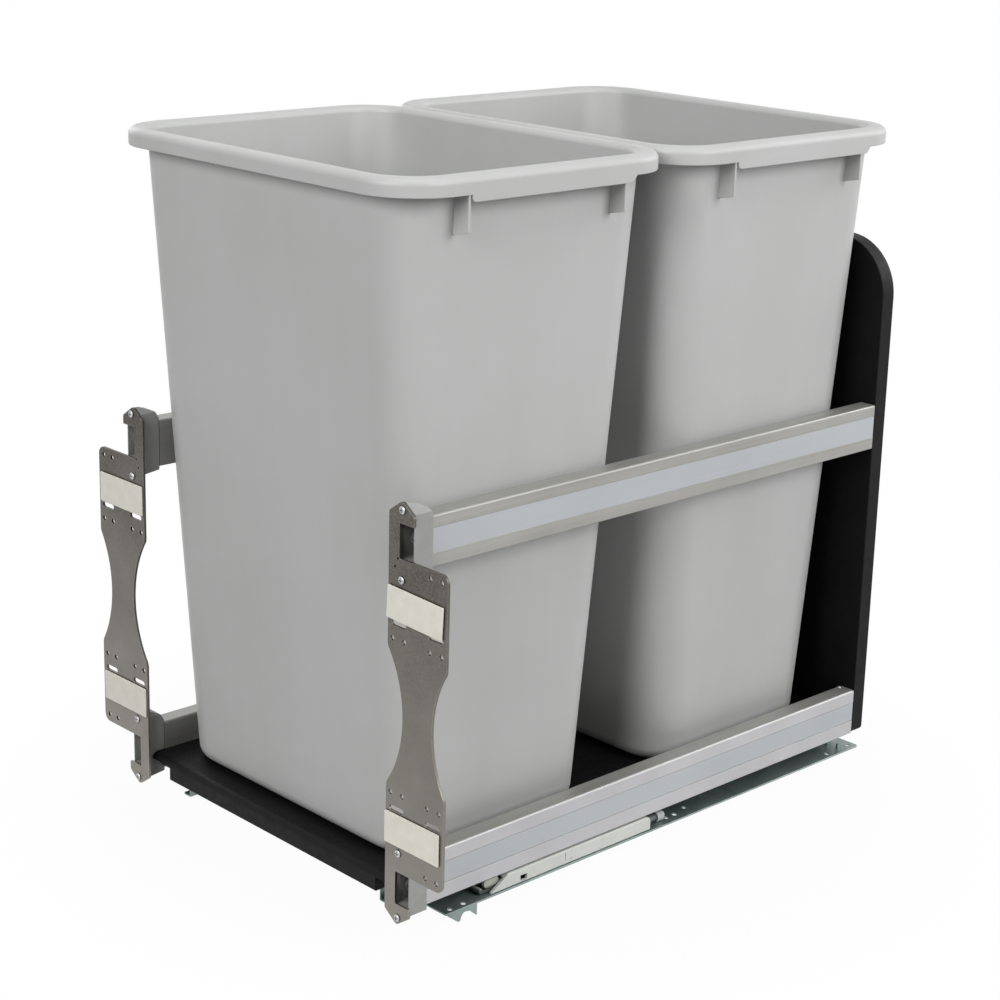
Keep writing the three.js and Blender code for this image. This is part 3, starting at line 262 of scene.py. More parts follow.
def worked(mesh, tools, operation="DIFFERENCE"):
    """Mesh with the tools' meshes cut out of it, or another boolean operation."""
    body = bpy.data.objects.new("work", mesh)
    scene.collection.objects.link(body)
    cutters = []
    for tool in tools:
        cutter = bpy.data.objects.new("tool", tool)
        scene.collection.objects.link(cutter)
        cutters.append(cutter)
        step = body.modifiers.new("cut", "BOOLEAN")
        step.operation = operation
        step.solver = "EXACT"
        step.object = cutter
    bpy.context.view_layer.update()
    result = bpy.data.meshes.new_from_object(body.evaluated_get(bpy.context.evaluated_depsgraph_get()))
    for piece in (body, *cutters):
        bpy.data.objects.remove(piece)
    return result


def oblong(a0, a1, b0, b1, radius=0, steps=5):
    """Outline of a rectangle with rounded corners."""
    return rounded([(a0, b0, radius), (a1, b0, radius), (a1, b1, radius), (a0, b1, radius)], steps)


def block(x0, x1, y0, y1, z0, z1, edge=0.2):
    """Box between those limits."""
    return extruded(oblong(x0, x1, z0, z1), y0, y1, "Y", edge=edge)


def together(*meshes):
    """One mesh of several."""
    whole = bmesh.new()
    for mesh in meshes:
        whole.from_mesh(mesh)
    result = bpy.data.meshes.new("together")
    whole.to_mesh(result)
    whole.free()
    return result


def fitted(mesh, name, finish, body, nodes=(), crease=35):
    """Puts a piece in its place in the unit, on the body that carries it, and gives it its finish."""
    mesh.transform(IN_FRAME)
    mesh.materials.clear()
    mesh.materials.append(finish.material)
    mesh.shade_smooth()
    mesh.set_sharp_from_angle(angle=math.radians(crease))
    piece = bpy.data.objects.new(name, mesh)
    scene.collection.objects.link(piece)
    flat = piece.modifiers.new("flat_faces", "WEIGHTED_NORMAL")
    flat.keep_sharp = True
    bpy.context.view_layer.update()
    piece.data = bpy.data.meshes.new_from_object(piece.evaluated_get(bpy.context.evaluated_depsgraph_get()))
    piece.modifiers.clear()
    piece.data.name = name
    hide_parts(*nodes)
    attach(piece, body)
    return piece


def mirrored(mesh):
    """The left-hand copy of a right-hand mesh."""
    copy = mesh.copy()
    copy.transform(Matrix.Scale(-1, 4, (1, 0, 0)))
    copy.flip_normals()
    return copy


def both_sides(mesh, name, finish, body, replaces=True, crease=35):
    """A right-hand piece and its mirror image. {side} in the body's name is left or right."""
    for side, made in (("left", mirrored(mesh)), ("right", mesh)):
        nodes = [f"{name}_{side}"] if replaces else []
        shown = f"{name}_{side}_made" if replaces else f"{name}_{side}"
        fitted(made, shown, finish, body.format(side=side), nodes, crease)


def paint(red, green, blue):
    """Linear colour of an sRGB one out of 255."""
    def linear(level):
        share = level / 255
        return share / 12.92 if share <= 0.04045 else ((share + 0.055) / 1.055) ** 2.4
    return (linear(red), linear(green), linear(blue), 1)


class Finish:
    """A surface finish: a material whose nodes are added one by one."""

    def __init__(self, name, metallic=0.0):
        self.material = bpy.data.materials.new(name)
        self.material.use_nodes = True
        self.tree = self.material.node_tree
        self.shader = self.tree.nodes["Principled BSDF"]
        self.shader.inputs["Metallic"].default_value = metallic
        self.place = self.add("TexCoord").outputs["Object"]
        self.height = None

    def add(self, kind, inputs=()):
        return add_node(self.tree, kind, inputs)

    def noise(self, scale, detail=3.0, stretch=(1, 1, 1), turned=(0, 0, 0), rough=0.55):
        angles = [math.radians(angle) for angle in turned]
        mapping = self.add("Mapping", {"Vector": self.place, "Scale": stretch, "Rotation": angles})
        return self.add("TexNoise", {
            "Vector": mapping.outputs[0], "Scale": scale, "Detail": detail, "Roughness": rough,
        }).outputs[0]

    def cells(self, scale, out="Distance"):
        return self.add("TexVoronoi", {"Vector": self.place, "Scale": scale}).outputs[out]

    def edges(self, width=0.5):
        """1 on outer edges, fading to 0 over a width in millimetres."""
        softened = self.add("Bevel", {"Radius": width / 1000})
        softened.samples = 4
        normal = self.add("NewGeometry").outputs["Normal"]
        alike = self.add("VectorMath", {0: softened.outputs[0], 1: normal})
        alike.operation = "DOT_PRODUCT"
        return self.level(alike.outputs["Value"], 1, 0, 0.8, 0.99)

    def hollows(self, reach, closed_in=0.15, open_out=0.6):
        """1 in hollows narrower than reach, in millimetres, and 0 on open faces."""
        closed = self.add("AmbientOcclusion", {"Distance": reach / 1000})
        closed.samples = 8
        return self.level(closed.outputs["AO"], 1, 0, closed_in, open_out)

    def along(self, axis):
        """Place along one of the unit's axes, in metres."""
        return self.add("SeparateXYZ", {0: self.place}).outputs[axis]

    def off_middle(self):
        """Distance from the middle of the unit's width, in metres."""
        size = self.add("Math", {0: self.along("X")})
        size.operation = "ABSOLUTE"
        return size.outputs[0]

    def level(self, value, low, high, start=0.3, end=0.7):
        """Value from start to end as a number from low to high."""
        return self.add("MapRange", {
            "Value": value, "From Min": start, "From Max": end, "To Min": low, "To Max": high,
        }).outputs["Result"]

    def times(self, a, b):
        product = self.add("Math", {0: a, 1: b})
        product.operation = "MULTIPLY"
        return product.outputs[0]

    def mix(self, share, a, b):
        """Colour a where share is 0 and b where it is 1."""
        blend = self.add("Mix")
        blend.data_type = "RGBA"
        set_inputs(self.tree, blend, {0: share, 6: a, 7: b})
        return blend.outputs[2]

    def clouded(self, scale, detail, dark, light):
        """Colour that drifts between two others in clouds."""
        return self.mix(self.level(self.noise(scale, detail), 0, 1), dark, light)

    def colour(self, value):
        set_inputs(self.tree, self.shader, {"Base Color": value})

    def roughness(self, value):
        set_inputs(self.tree, self.shader, {"Roughness": value})

    def uneven(self, scale, detail, low, high):
        """Roughness that drifts from low to high."""
        self.roughness(self.level(self.noise(scale, detail), low, high))

    def relief(self, value, depth):
        """Adds a relief of that depth, in millimetres."""
        bump = self.add("Bump", {"Strength": 1, "Distance": depth / 1000, "Height": value})
        if self.height:
            set_inputs(self.tree, bump, {"Normal": self.height})
        self.height = bump.outputs[0]
        set_inputs(self.tree, self.shader, {"Normal": self.height})

    def grain(self, scale, detail, depth):
        self.relief(self.noise(scale, detail), depth)


BOARD_HALF = 163.6
BOARD_FRONT, BOARD_REAR = -277.9, 264.5
BOARD_BOTTOM, BOARD_TOP = 26.3, 44.2
COVE_WIDTH, COVE_DEPTH, COVE_HEIGHT = 26, 14.4, 12.3

laminate = Finish("black_laminate")
laminate_tone = laminate.clouded(26, 4, paint(7, 7, 8), paint(14, 14, 15))
laminate.shader.inputs["Specular IOR Level"].default_value = 0.14
# Painted highlight: the rounded edges of the black laminate are coloured lighter.
laminate.colour(laminate.mix(laminate.edges(), laminate_tone, paint(38, 38, 40)))
laminate.uneven(140, 4, 0.42, 0.6)
laminate.grain(900, 2, 0.05)
laminate.grain(2600, 2, 0.03)

board_side = rounded([
    (BOARD_FRONT, BOARD_BOTTOM, 1.2), (BOARD_REAR, BOARD_BOTTOM, 1.2), (BOARD_REAR, BOARD_TOP, 1.2),
    (BOARD_FRONT, BOARD_TOP, 6),
])
board_cove = rounded([(BOARD_FRONT + a, BOARD_BOTTOM + b, radius) for a, b, radius in (
    (-2, -2, 0), (COVE_DEPTH, -2, 0), (COVE_DEPTH, 0, 0), (10.8, 3.2, 3), (7.8, 6.2, 5),
    (2.7, COVE_HEIGHT, 2), (-2, COVE_HEIGHT, 0),
)])
board = worked(
    extruded(board_side, -BOARD_HALF, BOARD_HALF, "X", edge=0.9, edge_steps=3),
    [extruded(board_cove, BOARD_HALF - COVE_WIDTH, BOARD_HALF + 4, "X", edge=0.4),
     extruded(board_cove, -BOARD_HALF - 4, COVE_WIDTH - BOARD_HALF, "X", edge=0.4)],
)
fitted(board, "base_board_made", laminate, "drawer", ["base_board"])


# --------------------------------------------------
# Back panel
# A second laminated board stands behind the bins, its top corners rounded. Four screws in counterbores
# hold it to the plugs in the rear ends of the rails.

PANEL_FRONT, PANEL_REAR, PANEL_HALF, PANEL_TOP, PANEL_CORNER = 264.8, 280.6, 180.7, 489.2, 51
COUNTERBORE_RADIUS, COUNTERBORE_DEPTH = 4.3, 2.5
# Where the middles of the rails' hollows are, across and up.
HOLLOW_X = 170.8
RAIL_MIDDLES = {"upper": 321.75, "lower": 47.7}


def bored(x, z, radius, y0, y1, sides=28):
    """Cutter for a round hole along Y."""
    return extruded(circle(x, z, radius, sides), y0, y1, "Y", edge=0)


panel_face = rounded([
    (-PANEL_HALF, BOARD_BOTTOM, 4), (PANEL_HALF, BOARD_BOTTOM, 4),
    (PANEL_HALF, PANEL_TOP, PANEL_CORNER), (-PANEL_HALF, PANEL_TOP, PANEL_CORNER),
], 18)
panel = worked(
    extruded(panel_face, PANEL_FRONT, PANEL_REAR, "Y", edge=0.8, edge_steps=3),
    [bored(side * HOLLOW_X, z, COUNTERBORE_RADIUS, PANEL_REAR - COUNTERBORE_DEPTH, PANEL_REAR + 2)
     for side in (-1, 1) for z in RAIL_MIDDLES.values()],
)
fitted(panel, "back_panel_made", laminate, "drawer", ["back_panel"])


# --------------------------------------------------
# Side rails
# Two upper and two lower rails: hollow aluminium extrusions, satin anodised, with a flat top and a groove
# along the outer face that takes a separate bluish strip. Painted light: the lower rails' outer faces are
# coloured lighter.

RAIL_OUTER, RAIL_INNER = 180.7, 163.9
RAIL_FRONT, RAIL_REAR = -264.5, 264.5
RAIL_WALL, GROOVE_DEPTH, STRIP_THICKNESS = 1.6, 1.5, 1.2
STRIP_JOINT = 0.08
# Heights in millimetres: strip is from the rail's bottom to its strip, and groove the joint under the strip.
RAIL_LEVELS = {
    "upper": {"bottom": 301.6, "top": 341.9, "strip": 10.6, "height": 19.8, "groove": 0.08},
    "lower": {"bottom": 26.3, "top": 69.1, "strip": 13.2, "height": 17.4, "groove": 0.5},
}

anodised = Finish("satin_anodised_rail", metallic=0.55)
drawn_lines = anodised.noise(900, 3, (1, 0.004, 1))
anodised_tone = anodised.clouded(14, 3, paint(150, 149, 144), paint(162, 161, 157))
# Painted light: a lighter copy of the same anodised colour, for the outer faces of the lower rails.
anodised_painted_light = anodised.clouded(18, 3, paint(184, 183, 186), paint(196, 195, 198))
painted_light_low_outside = anodised.times(
    anodised.level(anodised.along("Z"), 1, 0, 0.08, 0.26),
    anodised.level(anodised.off_middle(), 0, 1, 0.1795, 0.1806),
)
anodised_tone = anodised.mix(painted_light_low_outside, anodised_tone, anodised_painted_light)
anodised.colour(anodised.mix(anodised.level(drawn_lines, 0, 0.3), anodised_tone, paint(190, 189, 186)))
anodised.roughness(anodised.level(drawn_lines, 0.36, 0.5))
anodised.relief(drawn_lines, 0.02)

satin = Finish("satin_strip", metallic=0.35)
strip_lines = satin.noise(1400, 2, (1, 0.003, 1))
strip_tone = satin.clouded(9, 2, paint(176, 180, 184), paint(184, 188, 192))
strip_share = satin.level(strip_lines, 0, 0.3)
satin.colour(satin.mix(strip_share, strip_tone, paint(196, 200, 203)))
satin.roughness(satin.level(strip_lines, 0.32, 0.46))
satin.relief(strip_lines, 0.015)

for height, level in RAIL_LEVELS.items():
    bottom, top = level["bottom"], level["top"]
    strip_low, strip_high = bottom + level["strip"], bottom + level["strip"] + level["height"]
    groove_low, groove_high = strip_low - level["groove"], strip_high + STRIP_JOINT
    groove_floor = RAIL_OUTER - GROOVE_DEPTH
    section = rounded([
        (RAIL_INNER, bottom, 0.6), (RAIL_OUTER, bottom, 0.8), (RAIL_OUTER, groove_low, 0.3),
        (groove_floor, groove_low), (groove_floor, groove_high), (RAIL_OUTER, groove_high, 0.3),
        (RAIL_OUTER, top, 2), (RAIL_INNER, top, 2),
    ], 6)
    hollow = oblong(RAIL_INNER + RAIL_WALL, groove_floor - RAIL_WALL, bottom + RAIL_WALL, top - RAIL_WALL)
    rail = extruded(section, RAIL_FRONT, RAIL_REAR, "Y", [hollow], edge=0)
    both_sides(rail, f"{height}_rail", anodised, "drawer", crease=25)
    strip = block(
        RAIL_OUTER - STRIP_THICKNESS, RAIL_OUTER, RAIL_FRONT, RAIL_REAR, strip_low, strip_high, edge=0.25,
    )
    both_sides(strip, f"{height}_rail_inlay", satin, "drawer")


# --------------------------------------------------
# End caps
# Moulded grey caps close the rails' front ends and carry the door brackets. Each has a domed head and a
# pocket, open to the front behind the bracket's notch, with an adjuster screw in it.

CAP_FRONT, CAP_REAR, CAP_INNER_SIDE, CAP_OUTER_SIDE, CAP_OUTER = -283.0, -264.8, 162, 186, 184.2
CAP_DOME, CAP_FLANGE, CAP_UNDER_SCREW = 13.3, 3, 4.2
PILOT_RADIUS, PILOT_DEPTH = 2.1, 5.7
SHOULDER_WIDTH, SHOULDER_DROP = 14.1, 9.8
POCKET_INNER, POCKET_OUTER, POCKET_DEPTH, POCKET_MARGIN = 167.9, 183.0, 15.5, 1.4
# The bracket in front of the caps: its inner edge and tips across, its middle, screws and notches up.
BRACKET_INNER, BRACKET_TIP = 158.0, 172.1
SCREW_X = 173.5
BRACKET_MIDDLE = 184.4
SCREWS = {"upper": (348.6, 294.5), "lower": (74.3, 20.2)}
NOTCHES = {"upper": (310.5, 337.7), "lower": (31.1, 58.3)}

moulded = Finish("moulded_cap_grey")
cap_tone = moulded.clouded(60, 3, paint(152, 153, 150), paint(162, 163, 160))
# Painted highlight: the caps' edges are coloured lighter.
cap_tone = moulded.mix(moulded.edges(), cap_tone, paint(182, 183, 180))
# Painted shade: the pocket and other narrow hollows of the caps are coloured near black.
moulded.colour(moulded.mix(moulded.hollows(12), cap_tone, paint(30, 29, 27)))
moulded.uneven(400, 3, 0.42, 0.58)
moulded.grain(2200, 2, 0.05)

for height, level in RAIL_LEVELS.items():
    bottom, top = level["bottom"], level["top"]
    keel, ridge = min(SCREWS[height]) - CAP_UNDER_SCREW, top + CAP_DOME
    side = rounded([
        (CAP_REAR, bottom - 3, 1), (CAP_REAR, top + 2, 1), (CAP_REAR - 3.6, top + 8.2, 4),
        (CAP_FRONT + 7.3, top + 10.6, 8), (CAP_FRONT, ridge, 1.2), (CAP_FRONT, keel, 0.8),
        (CAP_FRONT + CAP_FLANGE, keel, 0.8), (CAP_FRONT + CAP_FLANGE, bottom - 4.9, 0.8),
    ], 6)
    inner_fall = (BRACKET_TIP - CAP_INNER_SIDE) * SHOULDER_DROP / SHOULDER_WIDTH
    outer_fall = (CAP_OUTER_SIDE - BRACKET_TIP) * SHOULDER_DROP / SHOULDER_WIDTH
    front = rounded([
        (CAP_INNER_SIDE, keel + inner_fall), (BRACKET_TIP, keel, 5), (CAP_OUTER_SIDE, keel + outer_fall),
        (CAP_OUTER_SIDE, ridge - outer_fall), (BRACKET_TIP, ridge, 5), (CAP_INNER_SIDE, ridge - inner_fall),
    ], 6)
    pocket_low, pocket_high = NOTCHES[height][0] - POCKET_MARGIN, NOTCHES[height][1] + POCKET_MARGIN
    pocket = oblong(POCKET_INNER, POCKET_OUTER, pocket_low, pocket_high, 1.2)
    cap = worked(
        worked(extruded(side, RAIL_INNER, CAP_OUTER, "X", edge=0.6, edge_steps=3),
               [extruded(front, CAP_FRONT - 2, CAP_REAR + 2, "Y", edge=0)], "INTERSECT"),
        [extruded(pocket, CAP_FRONT - 2, CAP_FRONT + POCKET_DEPTH, "Y", edge=0)]
        + [bored(SCREW_X, z, PILOT_RADIUS, CAP_FRONT - 1, CAP_FRONT + PILOT_DEPTH) for z in SCREWS[height]],
    )
    both_sides(cap, f"{height}_end_cap", moulded, "drawer")


# --------------------------------------------------
# Rear plugs, panel screws, cap adjusters and rivets
# Plugs are pressed in the rails' rear ends, and pan-head screws run through the back panel into them. The
# adjusters are short bright screws in the caps' pockets. All screws have a cross recess.

zinc = Finish("bright_zinc", metallic=0.9)
zinc_tone = zinc.clouded(500, 3, paint(160, 162, 162), paint(206, 208, 207))
# Painted shade: the cross recesses and other narrow hollows of the zinc parts are coloured near black.
zinc.colour(zinc.mix(zinc.hollows(1.5), zinc_tone, paint(38, 38, 37)))
zinc.uneven(900, 3, 0.22, 0.4)
zinc.grain(1800, 2, 0.015)


def turned(profile, x=0, z=0, sides=24):
    """Solid turned about an axis along Y, from (radius, y) points that start and end on the axis."""
    rings = [[Vector((at[0], y, at[1])) for at in circle(x, z, r, sides)] for r, y in profile[1:-1]]
    made = bmesh.new()
    start = made.verts.new((x, profile[0][1], z))
    end = made.verts.new((x, profile[-1][1], z))
    loops = [[made.verts.new(point) for point in ring] for ring in rings]
    for k in range(sides):
        after = (k + 1) % sides
        made.faces.new((start, loops[0][k], loops[0][after]))
        made.faces.new((end, loops[-1][after], loops[-1][k]))
        for one, two in zip(loops, loops[1:]):
            made.faces.new((one[k], two[k], two[after], one[after]))
    bmesh.ops.recalc_face_normals(made, faces=made.faces)
    mesh = bpy.data.meshes.new("turned")
    made.to_mesh(mesh)
    made.free()
    return mesh


THREAD_PITCH = 0.9


def pan_screw(x, z, seat, head, height, shank, length, way=1):
    """Cross-recessed pan-head screw along Y, its head bearing on y = seat. Its tip is behind, or before if
    way is -1."""
    dome = [(head * math.sin(angle), seat - way * height * (0.3 + 0.7 * math.cos(angle)))
            for angle in [math.radians(9 * step) for step in range(1, 11)]]
    profile = [(0, seat - way * height), *dome, (head, seat), (shank, seat)]
    core = shank * 0.82
    threads = max(1, int((length - 2 * shank) / THREAD_PITCH)) if length > 3 * shank else 0
    for turn_number in range(threads):
        y = seat + way * (0.6 + THREAD_PITCH * turn_number)
        profile += [(core, y), (shank, y + way * 0.3), (shank, y + way * 0.4), (core, y + way * 0.7)]
    profile += [(shank * 0.8, seat + way * (length - shank * 0.6)), (0, seat + way * length)]
    body = turned(profile, x, z)
    reach, slot = head * 0.58, head * 0.11
    top = seat - way * height
    near, far = sorted((top - way, top + way * height * 0.62))
    cross = [block(x - a, x + a, near, far, z - b, z + b, edge=0) for a, b in ((reach, slot), (slot, reach))]
    return worked(body, cross)


ADJUSTER_X, ADJUSTER_SEAT, ADJUSTER_LENGTH = 176.7, CAP_FRONT + 8.7, POCKET_DEPTH - 8.85
PLUG_OUTER, PLUG_PLAY, PLUG_LENGTH, PLUG_BORE = 177.3, 1.9, 20, 1.9
PANEL_SCREW_SEAT, PANEL_SCREW_BITE = PANEL_REAR - 2.2, 16
for height, level in RAIL_LEVELS.items():
    z = RAIL_MIDDLES[height]
    adjuster_z = sum(NOTCHES[height]) / 2
    adjuster = pan_screw(ADJUSTER_X, adjuster_z, ADJUSTER_SEAT, 6, 2.5, 3, ADJUSTER_LENGTH)
    both_sides(adjuster, f"{height}_cap_adjuster", zinc, "drawer")
    plug = worked(
        block(RAIL_INNER + PLUG_PLAY, PLUG_OUTER, RAIL_REAR - PLUG_LENGTH, RAIL_REAR,
              level["bottom"] + PLUG_PLAY, level["top"] - PLUG_PLAY, edge=0.6),
        [bored(HOLLOW_X, z, PLUG_BORE, RAIL_REAR - PLUG_LENGTH - 2, RAIL_REAR + 1)],
    )
    both_sides(plug, f"{height}_rail_plug", moulded, "drawer")
    screw_length = PANEL_SCREW_SEAT - RAIL_REAR + PANEL_SCREW_BITE
    panel_screw = pan_screw(HOLLOW_X, z, PANEL_SCREW_SEAT, 4, 1.9, 1.6, screw_length, -1)
    both_sides(panel_screw, f"{height}_panel_screw", zinc, "drawer")

# A domed rivet in the top of each lower rail, near its rear end.
RIVET_X, RIVET_Y = 166.7, 260.5
rivet = turned([(0, -1.3), (0.9, -1.2), (1.6, -0.9), (2.1, -0.3), (2.1, 0.1), (0, 0.1)])
rivet_place = Matrix.Translation((RIVET_X, RIVET_Y, RAIL_LEVELS["lower"]["top"]))
rivet.transform(rivet_place @ Matrix.Rotation(-math.pi / 2, 4, "X"))
both_sides(rivet, "lower_rail_rivet", zinc, "drawer", replaces=False)


# --------------------------------------------------
# Door brackets
# Waisted plates pressed from 2.4 mm steel, dull pewter plated. Slots and holes take the door's screws, and
# a C notch at each end leaves the cap's adjuster in reach, with a lip turned back inside it.

BRACKET_FRONT, BRACKET_REAR = -285.7, -283.3
BRACKET_BOTTOM = BRACKET_MIDDLE - 170.7
TAB, PLATE = BRACKET_INNER + 28.2, BRACKET_INNER + 66
NOTCH_X = TAB - 16.3
WAIST_OUTER_HALF, WAIST_OUTER_DEPTH, WAIST_INNER_HALF, WAIST_INNER_DEPTH = 50.5, 15, 55.5, 18
# Places across are from the plate's inner edge, and places up are from its middle.
PIN_X, PIN_RISE, END_PIN_X, END_PIN_RISE, PIN_RADIUS = (5.2, 18.5, 47, 60.1), 62.2, (46.5, 59), 119.3, 2.2
SLOT_X, SLOT_RISE, SLOT_HALF, SLOT_HEIGHT, SLOT_ROUND = (12.5, 53.5), 74.8, 8.25, 4.4, 2.15
DIMPLES = ((10.3, 125.6), (7.1, 118.9))
LIP_THICKNESS, LIP_LENGTH, LIP_HALF = 1.6, 3, 12

pewter = Finish("dull_pewter_plate", metallic=0.85)
pewter_grain = pewter.noise(700, 4, rough=0.7)
pewter_cloud = pewter.level(pewter.noise(22, 4), 0, 1)
# Painted reflection and shade: the brackets are coloured lighter low down and darker higher up.
pewter_tone = pewter.mix(
    pewter.level(pewter.along("Z"), 0, 1, 0.04, 0.33),
    pewter.mix(pewter_cloud, paint(132, 128, 122), paint(146, 142, 136)),
    pewter.mix(pewter_cloud, paint(70, 67, 62), paint(90, 87, 81)),
)
pewter_tone = pewter.mix(pewter.level(pewter_grain, 0, 0.5, 0.42, 0.68), pewter_tone, paint(138, 134, 127))
# Painted shade: the brackets' narrow hollows, such as holes, slots and notches, are coloured near black.
pewter_tone = pewter.mix(pewter.hollows(5, 0.4, 0.85), pewter_tone, paint(34, 32, 29))
# Painted highlight: the brackets' edges are coloured lighter.
pewter.colour(pewter.mix(pewter.edges(), pewter_tone, paint(206, 202, 194)))
pewter.roughness(pewter.level(pewter_grain, 0.34, 0.55))
pewter.relief(pewter_grain, 0.03)
pewter.grain(45, 3, 0.12)


def waist(edge, half, depth, steps=22):
    """Shallow arc that dips by depth from a = edge, half above and half below the bracket's middle."""
    radius = (half ** 2 + depth ** 2) / (2 * abs(depth))
    spread = math.asin(half / radius)
    path = []
    for k in range(steps + 1):
        angle = spread * (2 * k / steps - 1)
        dip = math.copysign(radius * (math.cos(angle) - math.cos(spread)), depth)
        end_radius = 10 if k in (0, steps) else 0
        path.append((edge + dip, BRACKET_MIDDLE + radius * math.sin(angle), end_radius))
    return path


notch_low, notch_high = NOTCHES["lower"]
lower_half = [
    (BRACKET_INNER, BRACKET_BOTTOM + SHOULDER_DROP, 3), (BRACKET_TIP, BRACKET_BOTTOM, 4),
    (TAB, BRACKET_BOTTOM + SHOULDER_DROP, 3), (TAB, notch_low, 0.8), (NOTCH_X, notch_low, 0.8),
    (NOTCH_X, notch_high, 0.8), (TAB, notch_high, 1.2), (PLATE, notch_high, 7),
]
bracket_face = rounded([
    *lower_half,
    *waist(PLATE, WAIST_OUTER_HALF, -WAIST_OUTER_DEPTH),
    *[(a, 2 * BRACKET_MIDDLE - b, radius) for a, b, radius in reversed(lower_half)],
    *waist(BRACKET_INNER, WAIST_INNER_HALF, WAIST_INNER_DEPTH)[::-1],
], 6)
bracket_holes = [circle(SCREW_X, z, 2.3) for pair in SCREWS.values() for z in pair]
for way in (-1, 1):
    for places, rise in ((PIN_X, PIN_RISE), (END_PIN_X, END_PIN_RISE)):
        z = BRACKET_MIDDLE + way * rise
        bracket_holes += [circle(BRACKET_INNER + a, z, PIN_RADIUS, 18) for a in places]
    for at in SLOT_X:
        left, right = BRACKET_INNER + at - SLOT_HALF, BRACKET_INNER + at + SLOT_HALF
        low = BRACKET_MIDDLE + way * SLOT_RISE - SLOT_HEIGHT / 2
        bracket_holes.append(oblong(left, right, low, low + SLOT_HEIGHT, SLOT_ROUND, 7))
bracket_holes += [circle(BRACKET_INNER + a, BRACKET_MIDDLE + b, 1, 12) for a, b in DIMPLES]
bracket_plate = extruded(bracket_face, BRACKET_FRONT, BRACKET_REAR, "Y", bracket_holes, edge=0.35)
lips = []
for span in NOTCHES.values():
    z = sum(span) / 2
    lips.append(block(NOTCH_X - LIP_THICKNESS, NOTCH_X, BRACKET_FRONT + 0.6, BRACKET_REAR + LIP_LENGTH,
                      z - LIP_HALF, z + LIP_HALF, edge=0.3))
bracket = worked(bracket_plate, lips, "UNION")
both_sides(bracket, "door_bracket", pewter, "drawer", crease=30)

# Screws that hold the brackets to the caps: pan heads with a cross recess, numbered from the top down.
BRACKET_SCREW_SEAT = -286.0
for number, z in enumerate((*SCREWS["upper"], *SCREWS["lower"]), 1):
    bracket_screw = pan_screw(SCREW_X, z, BRACKET_SCREW_SEAT, 3.1, 1.6, 1.8, 8.4)
    both_sides(bracket_screw, f"bracket_screw_{number}", zinc, "drawer")


# --------------------------------------------------
# Door pads
# Closed-cell foam pads, stuck on the brackets' fronts, take up play against the back of the door.

foam = Finish("pad_foam")
foam_pores = foam.cells(1500)
foam.colour(foam.clouded(90, 4, paint(240, 237, 224), paint(248, 246, 235)))
foam.roughness(foam.level(foam_pores, 0.8, 0.95, 0.1, 0.6))
foam.relief(foam_pores, 0.12)
foam.grain(160, 3, 0.25)

PAD_X, PAD_HALF, PAD_RISE, PAD_HALF_HEIGHT = BRACKET_INNER + 31.5, 30.9, 91, 13
PAD_FRONT, PAD_REAR = -287.5, -286.0
PAD_ASKEW = math.radians(2.4)
for height, way in (("upper", 1), ("lower", -1)):
    z = BRACKET_MIDDLE + way * PAD_RISE
    pad_face = oblong(PAD_X - PAD_HALF, PAD_X + PAD_HALF, z - PAD_HALF_HEIGHT, z + PAD_HALF_HEIGHT, 1)
    pad = extruded(pad_face, PAD_FRONT, PAD_REAR, "Y", edge=0.5, edge_steps=3)
    for side, made in (("left", mirrored(pad)), ("right", pad)):
        if (side, height) == ("right", "upper"):
            # This pad was stuck on a little askew.
            corner = Matrix.Translation((BRACKET_INNER, 0, z))
            made.transform(corner @ Matrix.Rotation(PAD_ASKEW, 4, "Y") @ corner.inverted())
        node = f"{height}_door_pad_{side}"
        fitted(made, f"{node}_made", foam, "drawer", [node])


# --------------------------------------------------
# Bins
# Each bin is one piece of light grey plastic with tapered walls and well rounded corners. Its rim turns out
# and down, runs deeper as a grip on both sides, and is stiffened by two thin fins under each grip.

BIN_BOTTOM, BIN_HEIGHT, BIN_WALL, BIN_FLOOR, BASE_ROUND = 44.5, 546.0, 2.4, 3, 12
RIM_X, RIM_Y, RIM_CORNER, RIM_DROP, RIM_THICKNESS = 184.5, 144.3, 48.5, 14.3, 2.4
BASE_X, BASE_Y, BASE_CORNER, FLARE_X, FLARE_Y, CORNER_LOSS = 147.0, 102.6, 38, 21.7, 28.7, 1.5
BINS = {"front_bin": -154.2, "rear_bin": 134.8}
CORNER_STEPS = 14

tub = Finish("moulded_bin_grey")
tub_cloud = tub.noise(5, 3)
tub_flow = tub.noise(16, 5, (1, 1, 0.12), (38, 24, 0))
tub_tone = tub.mix(tub.level(tub_cloud, 0, 1), paint(184, 185, 183), paint(191, 192, 191))
tub.colour(tub.mix(tub.level(tub_flow, 0, 0.5, 0.35, 0.75), tub_tone, paint(196, 197, 196)))
tub.uneven(70, 4, 0.36, 0.5)
tub.grain(1700, 2, 0.03)
tub.grain(7, 2, 0.5)


def wall_at(z, inset):
    """Half width, half depth, corner radius and height of the tapered wall, moved in by inset."""
    share = z / (BIN_HEIGHT - RIM_THICKNESS)
    x = BASE_X + FLARE_X * share - inset
    y = BASE_Y + FLARE_Y * share - inset
    return x, y, BASE_CORNER - CORNER_LOSS * share - inset, z


def rim_at(inset, z):
    """The same for the rim, moved in by inset from its outer face."""
    return RIM_X - inset, RIM_Y - inset, RIM_CORNER - inset, z


def bin_ring(x, y, radius, z):
    """Points around a level of the bin."""
    ring = []
    for quarter, (cx, cy) in enumerate(((x - radius, y - radius), (radius - x, y - radius),
                                        (radius - x, radius - y), (x - radius, radius - y))):
        for step in range(CORNER_STEPS + 1):
            angle = math.pi / 2 * (quarter + step / CORNER_STEPS)
            ring.append(Vector((cx + radius * math.cos(angle), cy + radius * math.sin(angle), z)))
    return ring


